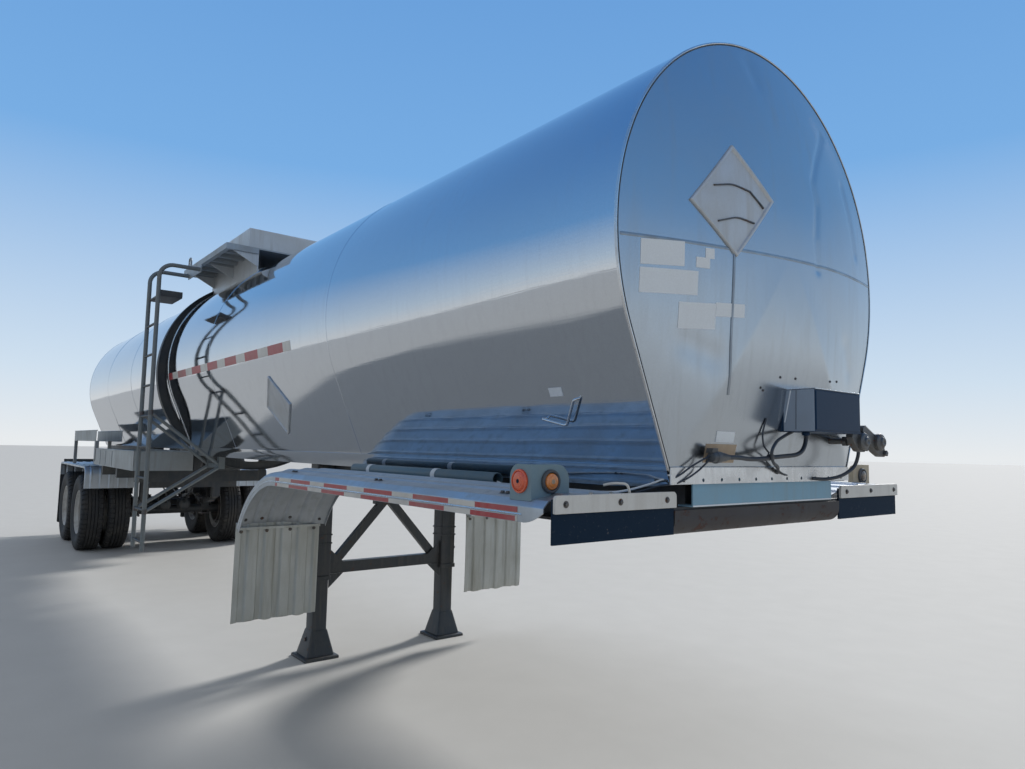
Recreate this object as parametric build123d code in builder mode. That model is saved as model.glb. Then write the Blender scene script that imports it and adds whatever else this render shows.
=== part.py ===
from build123d import *
from math import cos, radians, sin, sqrt, tan
import os

# Tanker semi-trailer standing on its landing legs and its rear tandem, in millimetres.
# X runs forward, Y to the left and Z up from the ground. Lengths back from the rim of the
# front head are turned into X by back().
os.makedirs("parts", exist_ok=True)

# whole vehicle
halfWidth = 1219
tankLength = 11300
rearAxleInset = 180
axleSpread = 1240
axleBacks = {"front": tankLength - rearAxleInset - axleSpread, "rear": tankLength - rearAxleInset}
bogieStart = axleBacks["front"] - 1330
bogieEnd = axleBacks["rear"] + 880
bumperStep = 50
tailReach = bogieEnd + bumperStep
frontReach = 200
faceX = (tailReach - frontReach) / 2

# tank jacket: round above, flat sides that lean in below, flat floor
roundRadius = 955
roundHeight = 2327
sideLean = 22.5
tankFloor = 1434.5
tankTop = roundHeight + roundRadius
headBulge = 120
rearBulge = 150
seatGap = 0.3

# ring around the tank
ringBack = 6380
ringRadius = 1045
ringHeight = 2265
ringInner = 955
ringWide = 70

# front frame, coupler and legs
railHalfGap = 395
railWide = 80
frontRailEnd = 3600
couplerFloor = 1205
couplerThick = 12
couplerHalfWidth = 613
couplerEnd = 1700
couplerLip = 1300
couplerBend = 60
couplerFace = 10
bolsterHalfWidth = 520
bolsterDeep = 70
bolsterSheet = 6
crossBarLow = 1270
crossBarHigh = 1310
kingpinBack = 910
kingpinNeck = 25.4
kingpinFlange = 35.7
kingpinDrop = 84
kingpinFlangeThick = 18
kingpinBoss = 38.7
kingpinBossDrop = 22
kingpinCap = 90
kingpinCapThick = 10
rearRailFloor = 1290
frontCrossBacks = (900, couplerEnd - 40, 2500, frontRailEnd - 40)
frontCrossHalf = 30
armBacks = (330, 1300, 2300)
armHalf = 25
armEdge = 14

legBack = 3294
legOuter = 130
legInner = 112
legSplit = 555
shoeSize = 260
shoeThick = 22
skirtWide = 205
skirtHigh = 190
braceHeight = 620
braceDeep = 80
braceWide = 60
apexHeight = 1120
braceTop = 1200
crossFloor = 1330
diagonalWide = 62
diagonalDeep = 40
diagonalInset = 36
diagonalRise = 20
legTopGap = 14
apexHalfLong = 25
apexHalfWide = 110
apexDrop = 50

# front fenders
fenderInner = 615
fenderInnerTop = 1318
fenderCrownY = 930
fenderCrownTop = 1368
fenderShoulderY = 1195
fenderShoulderTop = 1350
fenderShoulderDrop = 24
fenderSkirt = 1272.5
fenderSheet = 5
fenderStart = 60
fenderBendStart = 2450
fenderBendRadius = 750
fenderSweep = 60
tailPanelLow = 347
tailPanelThick = 8
tailPanelRib = 14
tailPanelRibs = 5
tailPanelInner = 630
tailPanelOuter = 1205
tailPanelSet = 12
tailPanelRise = 4
tailRibStart = 690
tailRibPitch = 114
tailRibHalf = 22
tailSeatDeep = 46
tailSeatInset = 10
barThick = 12
barLow = 1312
barHigh = 1371
flapThick = 10
flapGap = 4
flapDrop = 12
flapLow = 1212

# running gear
wheelRadius = 515
rimRadius = 286
tyreWide = 280
dualPitch = 324
axleTube = 63.5
spindleRadius = 38
spindleGap = 0.5
hubInner = 740
hubOuter = 1130
hubRadius = 112
handHoleDeep = 120
springHalfPitch = 480
springWide = 76
springHalfLength = 520
springRise = 60
springThick = 60
springSeatRise = 20
springEndRise = 40
springEndThick = 20

bogieRailFloor = 1000
bogieRailWide = 80
bogieCrossBack = bogieStart + 150
bogieCrossFloor = 900
bogieCrossTop = 1080
bogieCrossHalf = 560
bogieCrossHalfLong = 40
hangerCrossLow = 1060
hangerCrossTop = 1200
rearCrossBack = 130
rearCrossHigh = 60
hangerHalfWide = 52
hangerHalfLong = 55
equaliserHalfLong = 160
frameHalfWide = 1150
tailBarDeep = 70
tailBarHigh = 70
lampPlateInner = 560
lampPlateThick = 20
lampPlateTop = 1200

rearFenderStart = axleBacks["front"] - 580
rearFenderEnd = axleBacks["rear"] + 640
rearFenderTop = 1170
rearFenderFrontLow = 870
rearFenderRearLow = 960
rearFenderSheet = 5
rearFlapLow = 200
rearFlapDrop = 120
rearFenderNose = 60
rearFenderFall = 130
rearFenderDrop = 110
fenderArmBacks = (rearFenderStart + 120, rearFenderEnd - 200)
fenderArmHalf = 25
fenderArmReach = 30
fenderArmHigh = 40

# side tray, raised trough, ladder and top platform
trayStart = 6430
trayEnd = bogieStart + 150
trayInner = 622
trayInset = 19
trayLow = 1210
trayHigh = 1410
beamInner = 200
beamHalf = 40
beamHigh = 120
beamBacks = (trayStart + 120, (trayStart + trayEnd) / 2, trayEnd - 220)
hangerYs = (-560, beamInner - 40)
hangerHalf = 30
traySheet = 6
troughStart = trayEnd + 60
troughEnd = troughStart + 1840
troughInner = 900
troughLow = 1500
troughHigh = 1640
postHalf = 20
postWide = 40
postInset = 20
troughPostMiddle = 740

ladderFrontBack = 5800
ladderRearBack = 6200
ladderRadius = 20
ladderFoot = 480
ladderRunHeight = tankTop - 32
ladderBend = 130
rungRadius = 12
rungPitch = 300
rungStart = 80
stepDrop = 320
stepDeep = 220
stepSheet = 12
stepEarHalf = 4
stepHigh = 60
strutRadius = 16
strutHigh = 1790
strutLow = 850
anchorY = 520
anchorHeight = 1280
anchorHalf = 30
anchorBarHalf = 20
strutLap = 4

deckFront = 4960
deckRear = 6420
deckOuter = 830
deckLeft = 640
deckTop = tankTop + 68
deckSheet = 12
deckRim = 55
deckRimWide = 40
supportY = 530
supportLow = deckTop - 450
supportHalf = 6
supportInset = 20
gussetDeep = 120
gussetInset = 70
gussetThick = 12
gussetBacks = (deckFront + supportInset, (deckFront + deckRear) / 2, deckRear - 110)
meetLong = 40
meetDrop = 30
meetThick = 8
loopBacks = (6270, 6350)
loopHigh = 120
loopBend = 34
loopRadius = 9
loopInset = 30
loopSink = 6
boxHalfWidth = 612
boxFront = 5000
boxRear = 6380
boxTop = deckTop + 190
boxSheet = 8
manwayBack = 5720
manwayRadius = 255
manwayWall = 9
manwayGap = 12
neckLow = tankTop - 102
manwayTop = tankTop + 168
lidThick = 28
lidRadius = 275
lidCrown = 22
lidCrownInset = 60
lidCrownTaper = 30
hingeReach = 30
hingeRise = 14.3
hingePinRadius = 6
hingeBarrel = 13.7
earY = 44
earHalf = 7
tongueHalf = 30
tongueLap = 40
handleHalf = 20
handleLap = 30
handleReach = 40
handleRise = 8


def back(distance):
    """X of a point this far behind the front head's rim."""
    return faceX - distance


def axisPlane(x):
    return Plane.YZ.offset(x)


def sidePlane(y):
    """XZ plane at one Y, seen with X to the right and Z up."""
    return Plane(origin=(0, y, 0), x_dir=(1, 0, 0), z_dir=(0, -1, 0))


def boxBetween(x1, x2, y1, y2, z1, z2, mode=Mode.ADD):
    centre = ((x1 + x2) / 2, (y1 + y2) / 2, (z1 + z2) / 2)
    with Locations(centre):
        Box(abs(x2 - x1), abs(y2 - y1), abs(z2 - z1), mode=mode)


def rod(start, end, radius, mode=Mode.ADD):
    """Round bar between two points."""
    run = Vector(*end) - Vector(*start)
    with BuildSketch(Plane(origin=start, z_dir=run.normalized())) as disc:
        Circle(radius)
    extrude(disc.sketch, amount=run.length, mode=mode)


def bar(start, end, wide, deep, mode=Mode.ADD):
    """Flat or square bar between two points in one cross plane, wide along X."""
    run = Vector(*end) - Vector(*start)
    with BuildSketch(Plane(origin=start, x_dir=(1, 0, 0), z_dir=run.normalized())) as section:
        Rectangle(wide, deep)
    extrude(section.sketch, amount=run.length, mode=mode)


def save(builder, name):
    builder.part.label = name
    export_step(builder.part, f"parts/{name}.step")


# outline of the tank across the vehicle
leanY = roundRadius * cos(radians(sideLean))
leanZ = roundHeight - roundRadius * sin(radians(sideLean))
floorY = leanY - (leanZ - tankFloor) * tan(radians(sideLean))
headCentre = (tankFloor + tankTop) / 2


def tankOutline(x, share=1.0):
    """Cross section of the tank at one X, shrunk by share about the head's centre."""

    def at(y, z):
        return (y * share, headCentre + (z - headCentre) * share)

    with BuildSketch(axisPlane(x)) as outline:
        with BuildLine():
            ThreePointArc(at(leanY, leanZ), at(0, tankTop), at(-leanY, leanZ))
            Polyline(at(-leanY, leanZ), at(-floorY, tankFloor), at(floorY, tankFloor), at(leanY, leanZ))
        make_face()
    return outline.sketch


def tankSideY(z):
    """Half width of the tank at a height above its floor."""
    if z < leanZ:
        return floorY + (z - tankFloor) * tan(radians(sideLean))
    return sqrt(roundRadius**2 - (z - roundHeight) ** 2)


with BuildPart() as tankJacket:
    extrude(tankOutline(faceX), amount=-tankLength)
save(tankJacket, "tank_jacket")

# share of the outline and share of the bulge, from the rim to the crown of a head
domeSteps = [(1.0, 0.0), (0.8, 0.36), (0.55, 0.7), (0.25, 0.94)]

with BuildPart() as frontHead:
    loft([tankOutline(faceX + rise * headBulge, share) for share, rise in domeSteps], ruled=True)
save(frontHead, "front_head")

with BuildPart() as rearHead:
    loft([tankOutline(back(tankLength) - rise * rearBulge, share) for share, rise in domeSteps], ruled=True)
save(rearHead, "rear_head")

with BuildPart() as tankRing:
    with BuildSketch(axisPlane(back(ringBack) - ringWide / 2)):
        with Locations((0, ringHeight)):
            Circle(ringRadius)
            Circle(ringInner, mode=Mode.SUBTRACT)
    extrude(amount=ringWide)
    add(tankJacket.part, mode=Mode.SUBTRACT)
save(tankRing, "tank_ring")

# bright angle under the front head, with its row of holes
stripFront = 13
stripHigh = 1460
stripLow = 1397
stripHoles = 11
stripHolePitch = 118
stripHoleRadius = 7
stripHoleDrop = 4
with BuildPart() as frontStrip:
    boxBetween(faceX + stripFront - bolsterSheet, faceX + stripFront, -floorY, floorY, stripLow, stripHigh)
    boxBetween(back(bolsterDeep), faceX + stripFront, -floorY, floorY, tankFloor - bolsterSheet, tankFloor)
    with BuildSketch(axisPlane(faceX - bolsterSheet)):
        with Locations((0, (stripLow + tankFloor) / 2 - stripHoleDrop)):
            with GridLocations(stripHolePitch, 1, stripHoles, 1):
                Circle(stripHoleRadius)
    extrude(amount=stripFront * 3, mode=Mode.SUBTRACT)
    add(frontHead.part, mode=Mode.SUBTRACT)
    add(tankJacket.part, mode=Mode.SUBTRACT)
save(frontStrip, "front_strip")

with BuildPart() as bolster:
    bolsterHigh = tankFloor - bolsterSheet
    boxBetween(faceX - bolsterSheet, faceX, -bolsterHalfWidth, bolsterHalfWidth, crossBarHigh, bolsterHigh)
    for low in (crossBarHigh, bolsterHigh - bolsterSheet):
        boxBetween(back(bolsterDeep), faceX, -bolsterHalfWidth, bolsterHalfWidth, low, low + bolsterSheet)
save(bolster, "bolster")


def fenderCrown(side, drop=0.0):
    """Arc across a fender's top, lowered by drop."""
    ThreePointArc(
        (side * fenderInner, fenderInnerTop - drop),
        (side * fenderCrownY, fenderCrownTop - drop),
        (side * fenderShoulderY, fenderShoulderTop - drop),
    )


def crownHeight(y):
    """Top of a front fender's crown at a distance from the middle of the vehicle."""
    ends = ((fenderInner, fenderInnerTop), (fenderShoulderY, fenderShoulderTop))
    mid = (fenderCrownY, fenderCrownTop)
    # centre of the circle through the three points of the crown
    rows = [(2 * (mid[0] - a), 2 * (mid[1] - b), mid[0] ** 2 - a**2 + mid[1] ** 2 - b**2) for a, b in ends]
    (a1, b1, c1), (a2, b2, c2) = rows
    span = a1 * b2 - a2 * b1
    centreY = (c1 * b2 - c2 * b1) / span
    centreZ = (a1 * c2 - a2 * c1) / span
    radius = sqrt((centreY - mid[0]) ** 2 + (centreZ - mid[1]) ** 2)
    return centreZ + sqrt(radius**2 - (abs(y) - centreY) ** 2)


with BuildPart() as frontFrame:
    railOuter = railHalfGap + railWide
    for side in (-1, 1):
        boxBetween(back(bolsterDeep), back(couplerEnd), side * railHalfGap, side * railOuter,
                   couplerFloor + couplerThick, tankFloor)
        boxBetween(back(couplerEnd), back(frontRailEnd), side * railHalfGap, side * railOuter,
                   rearRailFloor, tankFloor)
    boxBetween(back(flapThick + barThick), back(bolsterDeep), -frameHalfWide, frameHalfWide, crossBarLow,
               crossBarHigh)
    for crossBack in frontCrossBacks:
        boxBetween(back(crossBack - frontCrossHalf), back(crossBack + frontCrossHalf), -railHalfGap, railHalfGap,
                   crossFloor, tankFloor)
    # outriggers under the fenders
    for armBack in armBacks:
        for side in (-1, 1):
            with BuildSketch(axisPlane(back(armBack) - armHalf)):
                with BuildLine():
                    fenderCrown(side, fenderSheet)
                    Polyline(
                        (side * fenderShoulderY, fenderShoulderTop - fenderSheet),
                        (side * fenderShoulderY, fenderShoulderTop - fenderSheet - armEdge),
                        (side * railOuter, rearRailFloor),
                        (side * railOuter, fenderInnerTop - fenderSheet),
                        (side * fenderInner, fenderInnerTop - fenderSheet),
                    )
                make_face()
            extrude(amount=2 * armHalf)
    # deep cross channel that takes the leg braces
    boxBetween(back(legBack - braceWide / 2), back(legBack + braceWide / 2), -railOuter, railOuter, braceTop,
               crossFloor)
save(frontFrame, "front_frame")

with BuildPart() as couplerPlate:
    with BuildSketch(sidePlane(couplerHalfWidth)):
        frontX = back(couplerFace)
        with BuildLine():
            Polyline((frontX, couplerLip), (frontX, couplerFloor + couplerBend))
            RadiusArc((frontX, couplerFloor + couplerBend), (frontX - couplerBend, couplerFloor), couplerBend)
            Polyline((frontX - couplerBend, couplerFloor), (back(couplerEnd), couplerFloor),
                     (back(couplerEnd), couplerFloor + couplerThick),
                     (frontX - couplerBend, couplerFloor + couplerThick))
            RadiusArc((frontX - couplerBend, couplerFloor + couplerThick),
                      (frontX - couplerThick, couplerFloor + couplerBend), -(couplerBend - couplerThick))
            Polyline((frontX - couplerThick, couplerFloor + couplerBend), (frontX - couplerThick, couplerLip),
                     (frontX, couplerLip))
        make_face()
    extrude(amount=2 * couplerHalfWidth)
    # hole that the kingpin's boss stands in
    pinX = back(kingpinBack)
    couplerUpper = couplerFloor + couplerThick
    rod((pinX, 0, couplerFloor), (pinX, 0, couplerUpper), kingpinBoss + seatGap, mode=Mode.SUBTRACT)
save(couplerPlate, "coupler_plate")

# cap above the plate, boss through it, neck, and the flange that a fifth wheel holds
with BuildPart() as kingpin:
    bossFloor = couplerFloor - kingpinBossDrop
    pinFloor = couplerFloor - kingpinDrop
    rod((pinX, 0, couplerUpper), (pinX, 0, couplerUpper + kingpinCapThick), kingpinCap)
    rod((pinX, 0, couplerUpper), (pinX, 0, bossFloor), kingpinBoss)
    rod((pinX, 0, bossFloor), (pinX, 0, pinFloor), kingpinNeck)
    rod((pinX, 0, pinFloor + kingpinFlangeThick), (pinX, 0, pinFloor), kingpinFlange)
save(kingpin, "kingpin")

# front fenders: crowned top, outer skirt, and a rear end that turns down
bendX = back(fenderBendStart)
bendZ = fenderCrownTop - fenderBendRadius


def fenderSection(side):
    """Cross section of one fender where its straight part ends."""
    with BuildSketch(axisPlane(bendX)) as section:
        with BuildLine():
            fenderCrown(side)
            Polyline(
                (side * fenderShoulderY, fenderShoulderTop),
                (side * halfWidth, fenderShoulderTop - fenderShoulderDrop),
                (side * halfWidth, fenderSkirt),
                (side * (halfWidth - fenderSheet), fenderSkirt),
                (side * (halfWidth - fenderSheet), fenderShoulderTop - fenderShoulderDrop - 2),
                (side * fenderShoulderY, fenderShoulderTop - fenderSheet),
            )
            fenderCrown(side, fenderSheet)
            Line((side * fenderInner, fenderInnerTop - fenderSheet), (side * fenderInner, fenderInnerTop))
        make_face()
    return section.sketch


with BuildPart() as frontFenders:
    for side in (-1, 1):
        extrude(fenderSection(side), amount=fenderBendStart - fenderStart)
        revolve(fenderSection(side), axis=Axis((bendX, 0, bendZ), (0, -1, 0)), revolution_arc=fenderSweep)
save(frontFenders, "front_fenders")

# ribbed panels that hang from the fenders' rear ends
sweepSin = sin(radians(fenderSweep))
panelTop = bendZ + fenderBendRadius * cos(radians(fenderSweep)) + tailPanelRise
panelX = bendX - fenderBendRadius * sweepSin - tailPanelSet
with BuildPart() as fenderTails:
    for side in (-1, 1):
        boxBetween(panelX - tailPanelThick, panelX, side * tailPanelInner, side * tailPanelOuter, tailPanelLow,
                   panelTop)
        for index in range(tailPanelRibs):
            ribY = side * (tailRibStart + index * tailRibPitch)
            boxBetween(panelX - tailPanelThick - tailPanelRib, panelX - tailPanelThick,
                       ribY - tailRibHalf, ribY + tailRibHalf, tailPanelLow, panelTop)
        # seat strip under the bent fender end
        boxBetween(panelX, panelX + tailSeatDeep, side * (tailPanelInner + tailSeatInset),
                   side * (tailPanelOuter - tailSeatInset), panelTop - tailSeatDeep, panelTop)
    add(frontFenders.part, mode=Mode.SUBTRACT)
save(fenderTails, "fender_tails")

with BuildPart() as flapBars:
    for side in (-1, 1):
        boxBetween(faceX, back(barThick), side * fenderInner, side * halfWidth, barLow, barHigh)
save(flapBars, "flap_bars")

with BuildPart() as frontFlaps:
    for side in (-1, 1):
        boxBetween(back(barThick), back(barThick + flapThick), side * (couplerHalfWidth + flapGap),
                   side * halfWidth, flapLow, barHigh - flapDrop)
save(frontFlaps, "front_flaps")

# marker lamp brackets: a front plate and a side plate that meet at the outer front corner
markerSheet = 4
markerFront = 139
markerLong = 114
markerWide = 173
markerHigh = 1466
markerFloor = 1200
markerFoot = 1300
markerTrim = 20
markerOuter = 1203
markerRound = 50
with BuildPart() as markerBrackets:
    for side in (-1, 1):
        outer = side * markerOuter
        with BuildSketch(axisPlane(back(markerFront))):
            with BuildLine():
                inner = side * (markerOuter - markerWide)
                Polyline((outer, markerHigh), (outer, markerFoot), (inner, markerFoot),
                         (inner, markerHigh - markerRound))
                RadiusArc((inner, markerHigh - markerRound), (inner + side * markerRound, markerHigh),
                          side * -markerRound)
                Line((inner + side * markerRound, markerHigh), (outer, markerHigh))
            make_face()
        extrude(amount=-markerSheet)
        with BuildSketch(sidePlane(outer)):
            with BuildLine():
                rearX = back(markerFront + markerLong)
                Polyline((back(markerFront), markerHigh), (back(markerFront), markerFoot), (rearX, markerFoot),
                         (rearX, markerHigh - markerRound))
                RadiusArc((rearX, markerHigh - markerRound), (rearX + markerRound, markerHigh), markerRound)
                Line((rearX + markerRound, markerHigh), (back(markerFront), markerHigh))
            make_face()
        extrude(amount=markerSheet * side)
        # trimmed to the crown of the fender
        with BuildSketch(axisPlane(back(markerFront + markerLong + markerTrim))):
            with BuildLine():
                fenderCrown(side)
                Polyline((side * fenderShoulderY, fenderShoulderTop),
                         (side * halfWidth, fenderShoulderTop - fenderShoulderDrop), (side * halfWidth, markerFloor),
                         (side * fenderInner, markerFloor), (side * fenderInner, fenderInnerTop))
            make_face()
        extrude(amount=markerLong + 3 * markerTrim, mode=Mode.SUBTRACT)
save(markerBrackets, "marker_brackets")

lampHeight = 1408
sideLampBack = 197
frontLampInset = 85
lampRadius = 41
lampDeep = 12
frontLensRadius = 30
frontLensDeep = 18
with BuildPart() as markerLamps:
    for side in (-1, 1):
        outer = side * markerOuter
        rod((back(sideLampBack), outer, lampHeight), (back(sideLampBack), outer + side * lampDeep, lampHeight),
            lampRadius)
        lampY = side * (markerOuter - frontLampInset)
        rod((back(markerFront), lampY, lampHeight), (back(markerFront) + frontLensDeep, lampY, lampHeight),
            frontLensRadius)
save(markerLamps, "marker_lamps")

with BuildPart() as lampGrommets:
    for side in (-1, 1):
        lampY = side * (markerOuter - frontLampInset)
        rod((back(markerFront), lampY, lampHeight), (back(markerFront) + lampDeep, lampY, lampHeight), lampRadius)
        rod((back(markerFront), lampY, lampHeight), (back(markerFront) + lampDeep, lampY, lampHeight),
            frontLensRadius, mode=Mode.SUBTRACT)
save(lampGrommets, "lamp_grommets")

legY = railHalfGap + railWide + legOuter / 2
with BuildPart() as landingLegs:
    for side in (-1, 1):
        for half, low, high in ((legOuter / 2, legSplit, tankFloor - legTopGap), (legInner / 2, shoeThick, legSplit)):
            boxBetween(back(legBack - half), back(legBack + half), side * legY - half, side * legY + half, low, high)
        half = shoeSize / 2
        boxBetween(back(legBack - half), back(legBack + half), side * legY - half, side * legY + half, 0, shoeThick)
        skirt = []
        for height, wide in ((shoeThick, skirtWide), (skirtHigh, legInner)):
            with BuildSketch(Plane.XY.offset(height)) as ring:
                with Locations((back(legBack), side * legY)):
                    Rectangle(wide, wide)
            skirt.append(ring.sketch)
        loft(skirt, ruled=True)
save(landingLegs, "landing_legs")

with BuildPart() as legBrace:
    braceEnd = legY - legOuter / 2
    boxBetween(back(legBack - braceWide / 2), back(legBack + braceWide / 2), -braceEnd, braceEnd,
               braceHeight - braceDeep / 2, braceHeight + braceDeep / 2)
    for side in (-1, 1):
        bar((back(legBack), side * (braceEnd - diagonalInset), braceHeight + diagonalRise),
            (back(legBack), 0, apexHeight), diagonalDeep, diagonalWide)
    boxBetween(back(legBack - apexHalfLong), back(legBack + apexHalfLong), -apexHalfWide, apexHalfWide,
               apexHeight - apexDrop, braceTop)
save(legBrace, "leg_brace")

# running gear
springSeat = wheelRadius + axleTube + springSeatRise
springEndLow = springSeat + springRise + springEndRise
springEndHigh = springEndLow + springEndThick
springEnds = {place: (axleBack - springHalfLength, axleBack + springHalfLength)
              for place, axleBack in axleBacks.items()}
equaliserBack = (axleBacks["front"] + axleBacks["rear"]) / 2
# distance back and half length of each spring hanger
hangers = [(springEnds["front"][0], hangerHalfLong), (equaliserBack, equaliserHalfLong),
           (springEnds["rear"][1], hangerHalfLong)]
with BuildPart() as bogieFrame:
    for side in (-1, 1):
        railMiddle = side * springHalfPitch
        boxBetween(back(bogieStart), back(bogieEnd - tailBarDeep), railMiddle - bogieRailWide / 2,
                   railMiddle + bogieRailWide / 2, bogieRailFloor, tankFloor)
        for hangerBack, halfLong in hangers:
            boxBetween(back(hangerBack - halfLong), back(hangerBack + halfLong), railMiddle - hangerHalfWide,
                       railMiddle + hangerHalfWide, springEndHigh + seatGap, bogieRailFloor)
    boxBetween(back(bogieCrossBack - bogieCrossHalfLong), back(bogieCrossBack + bogieCrossHalfLong), -bogieCrossHalf,
               bogieCrossHalf, bogieCrossFloor, bogieCrossTop)
    for crossBack, low, high in ((springEnds["front"][0], hangerCrossLow, hangerCrossTop),
                                 (equaliserBack, hangerCrossLow, hangerCrossTop),
                                 (axleBacks["rear"] + rearCrossBack, bogieRailFloor, bogieRailFloor + rearCrossHigh)):
        boxBetween(back(crossBack - bogieCrossHalfLong), back(crossBack + bogieCrossHalfLong), -springHalfPitch,
                   springHalfPitch, low, high)
    # arms that carry the rear fenders
    armTop = rearFenderTop - rearFenderSheet
    for armBack in fenderArmBacks:
        for side in (-1, 1):
            boxBetween(back(armBack - fenderArmHalf), back(armBack + fenderArmHalf),
                       side * (springHalfPitch + bogieRailWide / 2), side * (frameHalfWide + fenderArmReach),
                       armTop - fenderArmHigh, armTop)
save(bogieFrame, "bogie_frame")

# bar across the rails' rear ends, with a plate each side that carries the tail lamps
with BuildPart() as tailBar:
    tailBarTop = bogieRailFloor + tailBarHigh
    boxBetween(back(bogieEnd), back(bogieEnd - tailBarDeep), -frameHalfWide, frameHalfWide, bogieRailFloor,
               tailBarTop)
    for side in (-1, 1):
        boxBetween(back(bogieEnd), back(bogieEnd - lampPlateThick), side * lampPlateInner, side * frameHalfWide,
                   tailBarTop, lampPlateTop)
save(tailBar, "tail_bar")

with BuildPart() as leafSprings:
    for axleBack in axleBacks.values():
        for side in (-1, 1):
            with BuildSketch(sidePlane(side * springHalfPitch + springWide / 2)):
                midX = back(axleBack)
                endX, otherX = midX - springHalfLength, midX + springHalfLength
                with BuildLine():
                    ThreePointArc((endX, springEndLow), (midX, springSeat), (otherX, springEndLow))
                    Line((otherX, springEndLow), (otherX, springEndHigh))
                    ThreePointArc((otherX, springEndHigh), (midX, springSeat + springThick), (endX, springEndHigh))
                    Line((endX, springEndHigh), (endX, springEndLow))
                make_face()
            extrude(amount=springWide)
save(leafSprings, "leaf_springs")

chamberY = 130
chamberZ = 600
chamberReach = 110
chamberLong = 170
chamberRadius = 80
chamberArmHalf = 25
clampStart = 60
clampEnd = 72
clampRadius = 92
hubLap = 8
spindleInset = 40
seatHalfLong = 70
seatHalfWide = 50
for place, axleBack in axleBacks.items():
    with BuildPart() as axle:
        axleX = back(axleBack)
        tubeHalf = hubInner - hubLap
        spindleHalf = hubOuter - spindleInset
        rod((axleX, -tubeHalf, wheelRadius), (axleX, tubeHalf, wheelRadius), axleTube)
        rod((axleX, -spindleHalf, wheelRadius), (axleX, spindleHalf, wheelRadius), spindleRadius)
        for side in (-1, 1):
            boxBetween(axleX - seatHalfLong, axleX + seatHalfLong, side * springHalfPitch - seatHalfWide,
                       side * springHalfPitch + seatHalfWide, wheelRadius + springSeatRise, springSeat - seatGap)
            boxBetween(axleX, axleX + chamberReach, side * chamberY - chamberArmHalf,
                       side * chamberY + chamberArmHalf, wheelRadius, chamberZ + chamberRadius / 2)
    save(axle, f"axle_{place}")

with BuildPart() as brakeChambers:
    for axleBack in axleBacks.values():
        for side in (-1, 1):
            chamberX = back(axleBack) + chamberReach
            potY = side * chamberY
            rod((chamberX, potY, chamberZ), (chamberX + chamberLong, potY, chamberZ), chamberRadius)
            rod((chamberX + clampStart, potY, chamberZ), (chamberX + clampEnd, potY, chamberZ), clampRadius)
save(brakeChambers, "brake_chambers")

# radius and distance from the tyre's middle plane: bead, sidewall, shoulder, tread edge
tyreProfile = [(rimRadius, 104), (380, 132), (430, 140), (492, 122), (wheelRadius, 100)]
outerCentre = halfWidth - tyreWide / 2
dualCentres = (outerCentre, outerCentre - dualPitch)
rimWide = 230
rimSheet = 18
bandLap = 200
bandSheet = 28
discThick = 36
discLap = 10
drumRadius = 206
drumSheet = 16
drumWide = 150
drumWeb = 20
drumReach = 200
drumInset = 30
handHoleCircle = 206
handHoleRadius = 28
handHoles = 5


def wheelPlane(axleX):
    """Y across, distance from the axle up."""
    return Plane(origin=(axleX, 0, wheelRadius), x_dir=(0, 1, 0), z_dir=(1, 0, 0))


for place, axleBack in axleBacks.items():
    axleX = back(axleBack)
    spin = Axis((axleX, 0, wheelRadius), (0, 1, 0))
    for sideName, side in (("right", -1), ("left", 1)):
        with BuildPart() as tyres:
            with BuildSketch(wheelPlane(axleX)):
                for centre in dualCentres:
                    inner = [(side * centre - half, radius) for radius, half in tyreProfile]
                    outer = [(side * centre + half, radius) for radius, half in reversed(tyreProfile)]
                    with BuildLine():
                        Polyline(*inner, *outer, close=True)
                    make_face()
            revolve(axis=spin)
        save(tyres, f"tyres_{place}_{sideName}")

        with BuildPart() as rims:
            with BuildSketch(wheelPlane(axleX)):
                middle = side * (dualCentres[0] + dualCentres[1]) / 2
                for centre in dualCentres:
                    with Locations((side * centre, rimRadius - rimSheet / 2)):
                        Rectangle(rimWide, rimSheet)
                discTop, discLow = rimRadius - rimSheet, hubRadius - discLap
                with Locations((middle, (discTop + discLow) / 2)):
                    Rectangle(discThick, discTop - discLow)
                with Locations((middle, rimRadius - bandSheet / 2)):
                    Rectangle(dualPitch - bandLap, bandSheet)
                bore = spindleRadius + spindleGap
                with Locations((side * (hubInner + hubOuter) / 2, (bore + hubRadius) / 2)):
                    Rectangle(hubOuter - hubInner, hubRadius - bore)
                with Locations((side * (hubInner + drumInset), (hubRadius + drumReach - 4) / 2)):
                    Rectangle(drumWeb, drumReach - hubRadius)
                with Locations((side * (hubInner - drumInset), drumRadius - drumSheet / 2)):
                    Rectangle(drumWide, drumSheet)
            revolve(axis=spin)
            # hand holes through the discs
            holeStart = (axleX, middle - side * handHoleDeep / 2, wheelRadius)
            with BuildSketch(Plane(origin=holeStart, x_dir=(1, 0, 0), z_dir=(0, side, 0))):
                with PolarLocations(handHoleCircle, handHoles):
                    Circle(handHoleRadius)
            extrude(amount=handHoleDeep, mode=Mode.SUBTRACT)
        save(rims, f"rims_{place}_{sideName}")

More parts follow.
